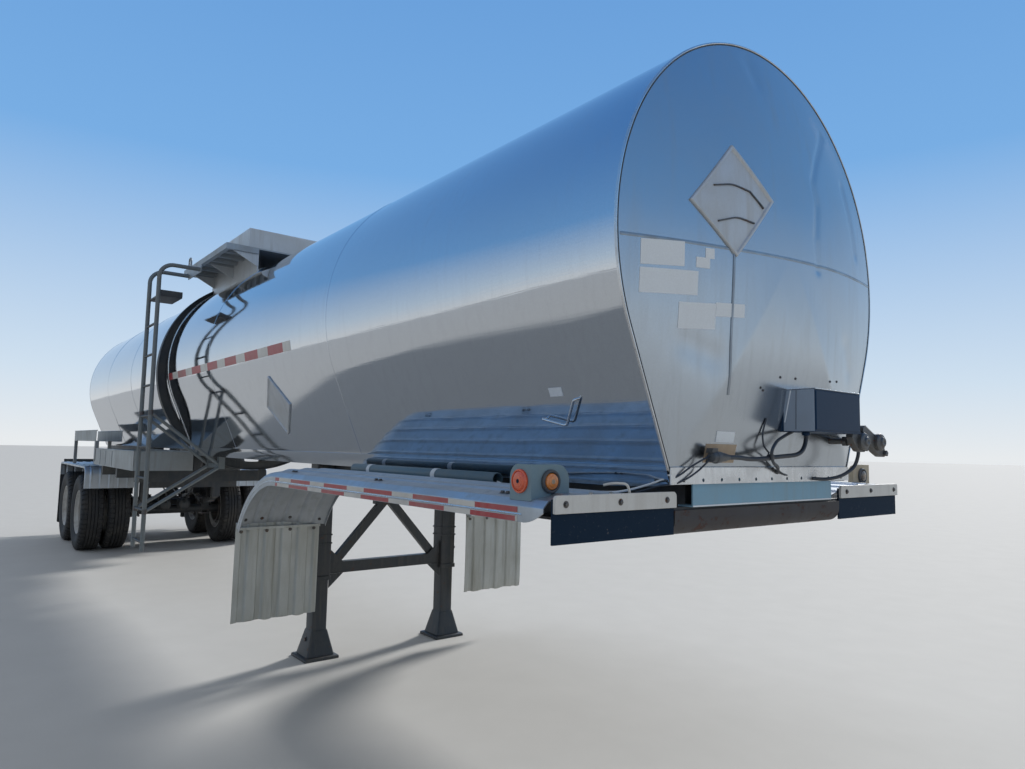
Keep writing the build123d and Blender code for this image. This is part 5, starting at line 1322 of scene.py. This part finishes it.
def clampParts(x):
    # clips near the spring's ends, plates above and below its middle, and two bent bolts with their nuts
    side, top, low = spring["side"], spring["boltsTop"], spring["boltsLow"]
    plateX, plateY = around(x, spring["plateX"]), around(side, spring["plateY"])
    parts = [boxPart(plateX, plateY, (spring["top"] + 0.0005, spring["top"] + 0.013)),
             boxPart(plateX, plateY, spring["lowPlate"])]
    for offset in around(0, spring["clips"]):
        high = springTop(offset)
        parts.append(boxPart(around(x + offset, 0.014), around(side, 0.045), (high - 0.048, high + 0.006)))
    for at in around(x, spring["boltsX"]):
        near, far = around(side, spring["boltsY"])
        bolt = [(at, near, low), (at, near, top), (at, far, top), (at, far, low)]
        parts.append(tubePart(bolt, 0.009, 0.02, (1, 0, 0), 10))
        parts += boltParts([(at, y, spring["nuts"]) for y in (near, far)], (0, 0, -1), 0.013)
    return parts


leaves, clamps = [], []
for x in axles.values():
    leaves += leafParts(x)
    clamps += clampParts(x)
piece("spring_leaves", bothSides(leaves), castMetal, replaces=["leaf_springs"],
      bevel=0.0012)
piece("spring_clamps", bothSides(clamps), boltMetal)

pot = {"ahead": 0.11, "y": -0.13, "z": 0.6, "bolts": (0.6, 3.7), "boltsAt": 0.097, "boltFace": 0.176}
potLine = [(0, 0), (0, 0.03), (0.004, 0.058), (0.014, 0.076), (0.055, 0.08), (0.058, 0.09), (0.074, 0.09),
           (0.077, 0.08), (0.15, 0.079), (0.164, 0.064), (0.17, 0.03), (0.17, 0)]
potHose = [(0.28, -0.13, 0.63), (0.36, -0.13, 0.7), (0.4, -0.2, 0.86), (0.4, -0.26, 0.93)]
pots = []
for x in axles.values():
    pots.append(lathePart(potLine, (x + pot["ahead"], pot["y"], pot["z"]), (1, 0, 0), 40))
    potBolts = [(x + pot["boltFace"], pot["y"] + pot["boltsAt"] * cos(a), pot["z"] + pot["boltsAt"] * sin(a))
                for a in pot["bolts"]]
    pots += boltParts(potBolts, (1, 0, 0), 0.007)
    pots.append(tubePart([(x + ahead, y, z) for ahead, y, z in potHose], 0.01, 0.05, (0, 1, 0), 10))
piece("brake_pots", bothSides(pots), chassisPaint, replaces=["brake_chambers"])

air = {"rear": back(8.38), "y": -0.26, "z": 1.262, "straps": (7.85, 8.23), "strapHalf": 0.02,
       "hangers": (-0.335, -0.185), "pad": (-0.345, -0.175)}
airLine = [(0, 0), (0.004, 0.045), (0.02, 0.08), (0.045, 0.099), (0.06, 0.1045), (0.075, 0.105),
           (0.605, 0.105), (0.62, 0.1045), (0.635, 0.099), (0.66, 0.08), (0.676, 0.045), (0.68, 0)]
airBottle = lathePart(airLine, (air["rear"], air["y"], air["z"]), (1, 0, 0), 48)
airStraps = []
for at in air["straps"]:
    strap = bandSection(air["strapHalf"], 0.1045, 0.108)
    airStraps.append(lathePart(strap, (back(at), air["y"], air["z"]), (1, 0, 0), 48))
    airStraps += [boxPart(around(back(at), air["strapHalf"]), around(y, 0.004), (1.3, tank["floor"]))
                  for y in air["hangers"]]
    airStraps.append(boxPart(around(back(at), 0.03), air["pad"], (tank["floor"] - 0.008, tank["floor"])))
piece("air_bottles", bothSides([airBottle]), chassisPaint, replaces=["air_tanks"])
piece("air_straps", bothSides(airStraps), boltMetal, bevel=0.001)
print("running gear made")

# rear fenders, flaps, bumper and lamps

rear = {"start": back(9.3), "end": back(11.76), "top": 1.17, "frontLow": 0.87, "rearLow": 0.96,
        "inner": 0.616, "outer": halfWide - 0.001, "crown": -0.0075, "beads": (0.7, 1.15, 0.11),
        "bolts": (9.5, 10.0, 10.52, 11.05, 11.55), "boltsAcross": (0.655, 0.755, 1.14), "flapInner": 0.618,
        "flapLow": 0.202, "flapHigh": 1.048, "flapAt": back(11.766), "flapBolts": (0.66, 0.82, 1.0, 1.17)}
rearCorners = [(rear["start"], rear["frontLow"], 0), (rear["start"], rear["top"], 0),
               (rear["end"], rear["top"], 0), (rear["end"], rear["rearLow"], 0)]
rearPath = roundedPath(rearCorners, 0.13, 12)[:, :2]
across = np.linspace(rear["inner"], rear["outer"] - 0.014, 90)
rearHigh = rear["crown"] + beadHeight(across, np.arange(*rear["beads"]), 0.02, 0.006)
rearEdge = [(across[-1], rear["crown"], 0), (rear["outer"], -0.0085, 0), (rear["outer"], -0.034, 0)]
rearLip = roundedPath(rearEdge, 0.008, 5)
rearLine = np.concatenate([np.stack([across, rearHigh], 1), rearLip[1:, :2]])
piece("rear_fender_shells", bothSides([bentSheet(rearPath, sheetLoop(rearLine, 0.0035))]), fenderMetal,
      replaces=["rear_fenders"], sharp=30)
rearPlaces = [(back(at), -y, rear["top"] - 0.0065) for at in rear["bolts"] for y in rear["boltsAcross"]]
piece("rear_fender_bolts", bothSides(boltParts(rearPlaces, (0, 0, 1), 0.008)), boltMetal)
rearSheet = rubberSheet(-halfWide + 0.004, -rear["flapInner"], rear["flapLow"], rear["flapHigh"],
                        rear["flapAt"], 0.009, 0.006)
piece("rear_flap_sheets", bothSides([rearSheet]), flapRubber, replaces=["rear_flaps"])
flapPlaces = [(rear["flapAt"] - 0.0055, -y, 1.02) for y in rear["flapBolts"]]
piece("rear_flap_bolts", bothSides(boltParts(flapPlaces, (-1, 0, 0), 0.008)), boltMetal)

bumper = {"face": back(12.0485), "deep": 0.088, "half": 1.158, "low": 0.461, "high": 0.559, "posts": 0.48,
          "postHalf": 0.04, "postX": (back(12.04), back(11.97)), "postTop": 0.999, "gussetAt": 12.005,
          "gusset": (0.085, 0.16, 0.05), "tapeHalf": 1.13, "tape": (0.484, 0.536)}
guard = [boxPart((bumper["face"], bumper["face"] + bumper["deep"]), around(0, bumper["half"]),
                 (bumper["low"], bumper["high"]))]
wide, high, thick = bumper["gusset"]
for y in around(0, bumper["posts"]):
    guard.append(boxPart(bumper["postX"], around(y, bumper["postHalf"]),
                         (bumper["high"] - 0.004, bumper["postTop"])))
    for facing in (1, -1):
        gussetX = back(bumper["gussetAt"] + facing * thick / 2)
        foot = (gussetX, y + facing * bumper["postHalf"], bumper["high"])
        gusset = [(0, 0), (facing * wide, 0), (0, high)]
        guard.append(prismPart(gusset, foot, (0, 1, 0), (0, 0, 1), facing * thick))
piece("rear_guard", guard, chassisPaint, replaces=["rear_bumper"], bevel=0.005)
tapeX, tapeY = (bumper["face"] - 0.0012, bumper["face"] + 0.001), around(0, bumper["tapeHalf"])
piece("guard_tape", [boxPart(tapeX, tapeY, bumper["tape"])], guardTape, bevel=0.0004)

tailLamp = {"face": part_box("tail_lamps")[1].x, "across": (0.68, 0.83, 0.98), "high": 1.136}
tailLens = [(0.0, 0.0445), (0.01, 0.0445), (0.0165, 0.042), (0.0185, 0.036), (0.02, 0.034), (0.0205, 0.02),
            (0.0213, 0.018), (0.0216, 0.0)]
tailRing = [(0.0, 0.051), (0.009, 0.051), (0.013, 0.049), (0.014, 0.0465), (0.012, 0.045), (0.004, 0.0445),
            (0.0, 0.0445), (0.0, 0.051)]
lenses, lensRings = ([lathePart(profile, (tailLamp["face"], -y, tailLamp["high"]), (-1, 0, 0), 48)
                      for y in tailLamp["across"]] for profile in (tailLens, tailRing))
piece("tail_lenses", bothSides(lenses), redLens, replaces=["tail_lamps"])
piece("tail_lamp_rings", bothSides(lensRings), boxPlastic)
print("rear made")

# top: deck ribs, box edges, lid and vents

deck = {"high": 3.35, "ribs": (5.13, 6.25, 6), "ribY": (-0.785, -0.545), "ribZ": (3.3, 3.3365),
        "treads": (-0.805, -0.63, 0.025), "treadX": (back(4.98), back(6.4))}
ribs = [boxPart(around(back(at), 0.012), deck["ribY"], deck["ribZ"]) for at in np.linspace(*deck["ribs"])]
piece("deck_ribs", ribs, deckMetal, bevel=0.002)
treads = [boxPart(deck["treadX"], around(y, 0.003), (deck["high"] - 0.001, deck["high"] + 0.006))
          for y in np.arange(*deck["treads"])]
piece("deck_treads", treads, deckMetal, bevel=0.001)
spill = {"front": back(5.0) - 0.004, "rear": back(6.38) + 0.004, "half": 0.608, "edge": 3.5345}
spillEdge = [(spill["front"], -spill["half"], spill["edge"]), (spill["front"], spill["half"], spill["edge"]),
             (spill["rear"], spill["half"], spill["edge"]), (spill["rear"], -spill["half"], spill["edge"])]
edgePath = roundedPath(spillEdge + spillEdge[:1], 0.012, 5)
piece("box_edges", [ringPart(circle(0.0055, 10), edgePath[:-1], (0, 0, 1))], trimBright)

lid = {"x": back(5.72), "hinge": back(6.025), "hingeZ": 3.4643, "low": 3.4505, "gripFrom": 0.255,
       "gripTo": 0.306, "gripHalf": 0.0125, "gripZ": 3.4685, "dogs": (60, 120, 240, 300), "dogsAt": 0.245,
       "wing": 0.026}
lidLine = [(0.0, 0.0), (0.0, 0.266), (0.002, 0.2735), (0.01, 0.275), (0.019, 0.275), (0.025, 0.271),
           (0.028, 0.262), (0.0275, 0.238), (0.031, 0.222), (0.04, 0.18), (0.0465, 0.12), (0.0492, 0.06),
           (0.05, 0.0)]
dogLine = [(0, 0), (0, 0.02), (0.004, 0.02), (0.005, 0.012), (0.016, 0.011), (0.018, 0.0)]
near, far = lid["x"] + lid["gripFrom"], lid["x"] + lid["gripTo"]
grip = [(x, side * lid["gripHalf"], lid["gripZ"]) for x, side in ((near, -1), (far, -1), (far, 1), (near, 1))]
lidParts = [lathePart(lidLine, (lid["x"], 0, lid["low"]), (0, 0, 1), 96),
            lathePart(bandSection(0.03, 0.0067, 0.0137), (lid["hinge"], 0, lid["hingeZ"]), (0, 1, 0), 32),
            boxPart((lid["hinge"] + 0.0125, lid["x"] - 0.235), around(0, 0.028),
                    (lid["low"] + 0.001, lid["low"] + 0.0265)),
            tubePart(grip, 0.0068, 0.012, (0, 0, 1), 12)]
piece("lid_dome", lidParts, lidMetal, "manway_lid", ["manway_lid"], sharp=30)
dogs = []
for angle in np.radians(lid["dogs"]):
    spot = np.array([lid["x"] + lid["dogsAt"] * cos(angle), lid["dogsAt"] * sin(angle), lid["low"] + 0.0275])
    wing = np.array([-sin(angle), cos(angle), 0]) * lid["wing"]
    bar = [spot + (0, 0, 0.013) - wing, spot + (0, 0, 0.013) + wing]
    dogs += [lathePart(dogLine, spot, (0, 0, 1), 18), tubePart(bar, 0.004, 0.0, (0, 0, 1), 8)]
piece("lid_dogs", dogs, boltMetal, "manway_lid")
vents = ((5.18, -0.25, 0.062, 0.13), (5.18, 0.25, 0.048, 0.09), (6.22, 0.33, 0.052, 0.11))


def ventPart(at, y, radius, high):
    # flange with six bolts, a narrower neck and a capped head
    profile = [(0, 0), (0, radius), (0.012, radius), (0.016, radius * 0.96), (0.016, radius * 0.7),
               (high - 0.044, radius * 0.7), (high - 0.04, radius * 0.97), (high - 0.036, radius),
               (high - 0.012, radius), (high - 0.004, radius * 0.9), (high, radius * 0.6), (high, 0)]
    places = [(back(at) + radius * 0.85 * cos(angle), y + radius * 0.85 * sin(angle), deck["high"] + 0.016)
              for angle in np.radians(np.arange(30, 390, 60))]
    cap = lathePart(profile, (back(at), y, deck["high"]), (0, 0, 1), 40)
    return joinParts([cap, *boltParts(places, (0, 0, 1), 0.005)])


ventParts = [ventPart(*vent) for vent in vents]
piece("vent_caps", ventParts, trimBright, replaces=["top_vents"], sharp=30)
print("top made")

# tray and trough edges, clamps on the ladder

trayEdges = []
for node, high in (("side_tray", 1.41), ("side_trough", 1.64)):
    low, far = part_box(node)
    for y in (low.y + 0.003, far.y - 0.003):
        edge = [(low.x + 0.004, y, high), (far.x - 0.004, y, high)]
        trayEdges.append(tubePart(edge, 0.0065, sides=10))
trayRibs = [boxPart(around(back(at), 0.012), (-1.2045, -1.1995), (1.225, 1.395)) for at in (7.6, 8.0, 8.35)]
piece("tray_edges", trayEdges + trayRibs, trayMetal, bevel=0.001)
ladder = {"rails": (5.8, 6.2), "y": -(halfWide - 0.02), "collars": (0.85, 1.79), "foot": 0.4795}
footLine = [(0.0, 0.0), (0.0, 0.018), (0.003, 0.0199), (0.03, 0.0199), (0.03, 0.0)]
collars = []
for at in ladder["rails"]:
    for high in ladder["collars"]:
        collarAt = (back(at), ladder["y"] + 0.0035, high)
        collars.append(lathePart(bandSection(0.022, 0.0195, 0.0235), collarAt, (0, 0, 1), 28))
    collars.append(lathePart(footLine, (back(at), ladder["y"], ladder["foot"]), (0, 0, 1), 24))
piece("ladder_collars", collars, boltMetal)
print("side made")

# connector box on the front head, with a side sheet of painted light, lines of painted shade and highlight, a
# painted highlight along its top, hinges and sockets

box = {"y1": 0.02, "y2": 0.41, "z1": 1.61, "z2": 1.79, "x": rimX + 0.2, "in": headAt(0.2, 1.7) - 0.03,
       "side": 0.0188, "hinges": ((0.04, 1.765), (0.034, 1.692)), "sockets": ((1.735, 0.024), (1.668, 0.028))}
glandLine = [(0, 0), (0, 0.012), (0.002, 0.0165), (0.014, 0.017), (0.016, 0.0)]
boxShell = [boxPart((box["in"], box["x"] - 0.004), (box["y1"], box["y2"]), (box["z1"], box["z2"] - 0.002)),
            boxPart((box["x"] - 0.006, box["x"]), (0.027, 0.402), (box["z1"] + 0.008, box["z2"] - 0.01)),
            boxPart((box["in"] + 0.03, box["x"] - 0.02), (box["y2"] - 0.002, box["y2"] + 0.01),
                    (box["z1"] + 0.03, box["z2"] - 0.04)),
            lathePart(glandLine, (glandX, 0.11, 1.596), (0, 0, 1), 24)]
piece("box_shell", boxShell, navyPaint, replaces=["connector_box"], bevel=0.003)
# painted light: a thin lighter sheet over the navy box's side face stands in for the light on that side
boxLitSide = boxPart((box["in"] + 0.03, box["x"] - 0.005), (box["side"], box["y1"] + 0.002), (1.613, 1.785))
piece("box_lit_side", [boxLitSide], boxLitGrey, bevel=0.0006)


def boxLine(radius, *ends):
    # thin round line between two ends (ahead of the rim, Z) on the sheet of painted light over the box's side
    return tubePart([(rimX + x, box["side"], z) for x, z in ends], radius, 0.0, (0, 1, 0), 8)


# painted shade: near-black lines where the box side meets the head and down the side; painted highlight: a white
# line across the side
creaseShades = [boxLine(0.0032, (0.07, 1.785), (0.038, 1.616)), boxLine(0.0014, (0.117, 1.782), (0.114, 1.62))]
piece("box_crease_shades", creaseShades, chassisPaint)
piece("box_highlight_line", [boxLine(0.0024, (0.092, 1.783), (0.064, 1.65))], patchWhite)
hinges = boltParts([(box["x"] - 0.0062, y, z) for y, z in box["hinges"]], (1, 0, 0), 0.006)
piece("box_hinges", hinges, boltMetal)
# painted highlight: a bright metal strip along the box's top edge, where light catches it
boxTopHighlight = boxPart((box["in"] + 0.02, box["x"]), (box["y1"] + 0.002, box["y2"] - 0.002),
                  (box["z2"] - 0.004, box["z2"]))
piece("box_top_highlight", [boxTopHighlight], trimBright, bevel=0.0008)
sockets = []
for z, radius in box["sockets"]:
    profile = [(0, 0), (0, radius * 0.75), (0.02, radius * 0.75), (0.022, radius), (0.046, radius),
               (0.05, radius * 0.9), (0.05, radius * 0.45), (0.036, radius * 0.4), (0.036, 0)]
    sockets.append(lathePart(profile, (rimX + 0.135, box["y2"] + 0.008, z), (0, 1, 0), 28))
piece("box_sockets", sockets, castMetal, sharp=30)

# air couplings, painted highlights along their edges and the pipe below them

glad = {"x": rimX + 0.15, "z": 1.58, "places": ((0.455, 0.07, 0.066), (0.61, 0.13, 0.112)),
        "slant": (0, 0.894, -0.447), "square": (0, 0.447, 0.894)}
gladNut = [(0, 0), (0, 0.024), (0.018, 0.024), (0.02, 0.02), (0.02, 0)]
gladFace = [(0, 0), (0, 0.03), (0.006, 0.038), (0.03, 0.0395), (0.036, 0.034), (0.038, 0.022), (0.046, 0.02),
            (0.047, 0.01), (0.04, 0.0)]


def gladParts(y, arm, tail):
    # stem, nut, round face, slanting body with an arm and a tail, and a lug on the tail
    x, z, slant, square = glad["x"], glad["z"], glad["slant"], glad["square"]
    body = [(-arm, 0.006), (-arm + 0.006, -0.014), (-0.03, -0.03), (0.02, -0.04), (tail - 0.03, -0.034),
            (tail, -0.02), (tail + 0.004, 0.004), (tail - 0.026, 0.022), (0.01, 0.034), (-0.03, 0.026),
            (-arm + 0.01, 0.022)]
    lug = [(tail - 0.022, -0.018), (tail, -0.016), (tail, 0.002), (tail - 0.018, 0.006)]
    return [tubePart([(headAt(y, z) - 0.012, y, z), (x, y, z)], 0.0135, 0.0, (0, 0, 1), 16),
            lathePart(gladNut, (x - 0.055, y, z), (1, 0, 0), 6),
            lathePart(gladFace, (x + 0.002, y + 0.025, z), (1, 0, 0), 32),
            prismPart(body, (x - 0.012, y, z), slant, square, 0.03),
            prismPart(lug, (x + 0.018, y, z), slant, square, 0.014)]


def gladGlint(y, arm, tail):
    # painted highlight: a bright line along the body's upper edge, at (along, above) its middle
    line = np.array([(-arm + 0.012, 0.021), (-0.03, 0.025), (0.01, 0.033), (tail - 0.026, 0.021)])
    path = (glad["x"] + 0.018, y, glad["z"]) + line[:, :1] * glad["slant"] + line[:, 1:] * glad["square"]
    return tubePart(path, 0.0022, 0.02, (1, 0, 0.01), 8)


couplings = [part for place in glad["places"] for part in gladParts(*place)]
piece("glad_couplings", couplings, castMetal, replaces=["gladhands"], bevel=0.002)
# painted highlight: bright lines on the couplings stand in for their glints
piece("glad_glints", [gladGlint(*place) for place in glad["places"]], trimBright)

# plug, wires, plates and hook at the front


def aheadLine(route, radius, bend, up=(1, 0.01, 0), sides=10):
    # round line along a route (ahead of the front rim, Y, Z)
    return tubePart([(rimX + x, y, z) for x, y, z in route], radius, bend, up, sides)


airPipe = ((0.15, 0.478, 1.566), (0.128, 0.53, 1.52), (0.108, 0.53, 1.462), (0.085, 0.45, 1.42),
           (0.05, 0.37, 1.406), (0.012, 0.33, 1.41))
piece("air_pipe", [aheadLine(airPipe, 0.008, 0.06, sides=12)], cableSkin)

plug = {"start": -0.484, "stem": -0.4385, "high": 1.5, "foot": headAt(-0.4385, 1.5) - 0.006}
plugLine = [(0, 0), (0, 0.016), (0.003, 0.02), (0.022, 0.0215), (0.024, 0.0245), (0.036, 0.0245),
            (0.038, 0.022), (0.06, 0.021), (0.064, 0.018), (0.09, 0.016), (0.102, 0.012), (0.114, 0.0112),
            (0.114, 0)]
plugLid = [(-0.02, 0.016), (0.01, 0.016), (0.014, 0.034), (-0.016, 0.034)]
plugStem = [(plug["foot"], plug["stem"], plug["high"]), (plugX, plug["stem"], plug["high"])]
plugParts = [lathePart(plugLine, (plugX, plug["start"], plug["high"]), (0, 1, 0), 32),
             tubePart(plugStem, 0.012, 0.0, (0, 0, 1), 14),
             boxPart((plug["foot"] - 0.004, plug["foot"] + 0.009), around(plug["stem"], 0.02),
                     around(plug["high"], 0.02)),
             prismPart(plugLid, (plugX, plug["start"] + 0.03, plug["high"]), (1, 0, 0), (0, 0, 1), 0.034)]
piece("plug_shell", plugParts, boxPlastic, replaces=["cable_plug"], bevel=0.0015)

heldWires = (  # (Y, Z, extra distance from the head)
    ((-0.106, 1.662, 0.0), (-0.124, 1.6, 0.004), (-0.12, 1.548, 0.018), (-0.094, 1.52, 0.034)),
    ((-0.098, 1.517, 0.034), (-0.05, 1.5, 0.02), (0.0, 1.47, 0.012), (0.06, 1.436, 0.014),
     (0.11, 1.426, 0.014)),
)
looseWires = (  # (X ahead of the rim, Y, Z) and radius
    (((0.06, 0.09, 1.613), (0.072, 0.03, 1.602), (0.088, -0.085, 1.57), (0.092, -0.135, 1.524),
      (0.07, -0.085, 1.48), (0.04, 0.005, 1.462), (0.014, 0.04, 1.436)), 0.0066),
    (((0.052, -0.48, 1.506), (0.034, -0.522, 1.484), (0.024, -0.57, 1.46), (0.019, -0.625, 1.43),
      (-0.004, -0.66, 1.412), (-0.08, -0.67, 1.398)), 0.0036),
    (((0.05, -0.48, 1.492), (0.026, -0.515, 1.45), (0.02, -0.58, 1.418), (0.01, -0.64, 1.398),
      (-0.03, -0.675, 1.392), (-0.12, -0.7, 1.362)), 0.0036),
)


def wirePart(route, radius, lift):
    # thin line (Y, Z, extra lift) held against the front head
    route = roundedPath(route, 0.05, 6)
    path = headPoints(route[:, 0], route[:, 1], lift)
    path[:, 0] += route[:, 2]
    return sweepPart(circle(radius, 8), path, (1, 0.01, 0))


headWires = [wirePart(route, 0.0036, 0.0034) for route in heldWires]
headWires += [aheadLine(route, radius, 0.045) for route, radius in looseWires]
piece("head_wires", headWires, cableSkin)
tie = lathePart(bandSection(0.01, 0.01, 0.0135), (plugX + 0.014, -0.1, 1.503), (0.15, 0.95, 0.1), 16)
piece("wire_ties", [tie], boxPlastic)
piece("head_plates", [headSheet(-0.421, -0.303, 1.558, 1.6, 0.002)], patchWhite)
piece("head_plate_low", [headSheet(-0.475, -0.277, 1.478, 1.55, 0.0014)], plateRust)
piece("jacket_plate", [sidePlate(back(0.513), back(0.437), 1.734, 1.769, 0.0016)], patchWhite)
hook = [(x, -(float(tankSide(z)) + lift), z) for x, z, lift in (
    (-0.581, 1.644, -0.002), (-0.581, 1.644, 0.024), (-0.44, 1.614, 0.024), (-0.358, 1.715, 0.024),
    (-0.35, 1.722, -0.002))]
piece("jacket_hook", [aheadLine(hook, 0.0055, 0.018, (0, 0.3, 1), 12)], trimBright)

# loose pipe along the right fender with its clamps, and the strap at the fender's front

pipe = {"y": -0.705, "z": float(crownTop(0.705)) + 0.0318, "front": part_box("side_pipe")[1].x,
        "rear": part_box("side_pipe")[0].x, "radius": 0.0318, "bands": (1.491, 2.212), "bandHalf": 0.019}
pipeLong = pipe["front"] - pipe["rear"]
pipeLine = [(0, 0.0272), (0, 0.03), (0.003, pipe["radius"]), (pipeLong - 0.003, pipe["radius"]),
            (pipeLong, 0.03), (pipeLong, 0.0272), (0, 0.0272)]
pipeShell = lathePart(pipeLine, (pipe["rear"], pipe["y"], pipe["z"]), (1, 0, 0), 36)
piece("pipe_shell", [pipeShell], pipePaint, replaces=["side_pipe"])
pipeBands = []
for at in pipe["bands"]:
    band = bandSection(pipe["bandHalf"], 0.0312, 0.0338)
    pipeBands.append(lathePart(band, (back(at), pipe["y"], pipe["z"]), (1, 0, 0), 36))
    pipeBands.append(boxPart(around(back(at), pipe["bandHalf"]), (pipe["y"] - 0.056, pipe["y"] - 0.028),
                             (pipe["z"] - 0.028, pipe["z"] - 0.0235)))
piece("pipe_bands", pipeBands, patchWhite, bevel=0.0008)
pipeTail = [(pipe["front"] - rimX - 0.004, pipe["y"], pipe["z"] - 0.01),
            (-0.9, pipe["y"] - 0.005, pipe["z"] - 0.026), (-0.6, -0.728, 1.3505), (-0.34, -0.752, 1.3545),
            (-0.18, -0.735, 1.36), (-0.1, -0.69, 1.385), (-0.02, -0.655, 1.418)]
piece("pipe_tail", [aheadLine(pipeTail, 0.0042, 0.06, (0, 0.01, 1), 8)], patchWhite)
rod = ((-0.075, -0.925, 1.396), (-0.045, -0.905, 1.4045), (-0.0175, -0.866, 1.4025), (-0.0175, -0.853, 1.376),
       (-0.0175, -0.852, 1.345))
piece("fender_rod", [aheadLine(rod, 0.0048, 0.025, (0, 0.01, 1))], whiteBar)

# a pale strip along the bolster's lower lip

low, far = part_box("bolster")
lipFace = boxPart((far.x - 0.006, far.x + 0.0012), (low.y + 0.001, far.y - 0.001),
                  (low.z + 0.0005, low.z + 0.0065))
piece("bolster_lip", [lipFace], patchWhite, bevel=0.0008)
print("front made")

# worn finishes on the parts whose shape stays as it is


def refinish(finish, *names):
    # another finish on CAD nodes
    for name in names:
        for given in nodes[name].material_slots:
            given.material = finish


refinish(trimBright, "front_strip", "manway_neck")
refinish(palePaint, "bolster")
refinish(couplerRust, "coupler_plate")
refinish(castMetal, "kingpin", "rear_outlet")
refinish(legPaint, "leg_brace")
refinish(chassisPaint, "front_frame", "bogie_frame", "tail_bar", "axle_front", "axle_rear", "tray_beams",
         "ladder_rungs")
refinish(trayMetal, "side_tray", "side_trough")
refinish(greyPaint, "ladder_rails", "ladder_struts")
refinish(deckMetal, "deck")
refinish(whiteMetal, "deck_supports", "spill_box")
print("finishes set")
bpy.context.view_layer.update()
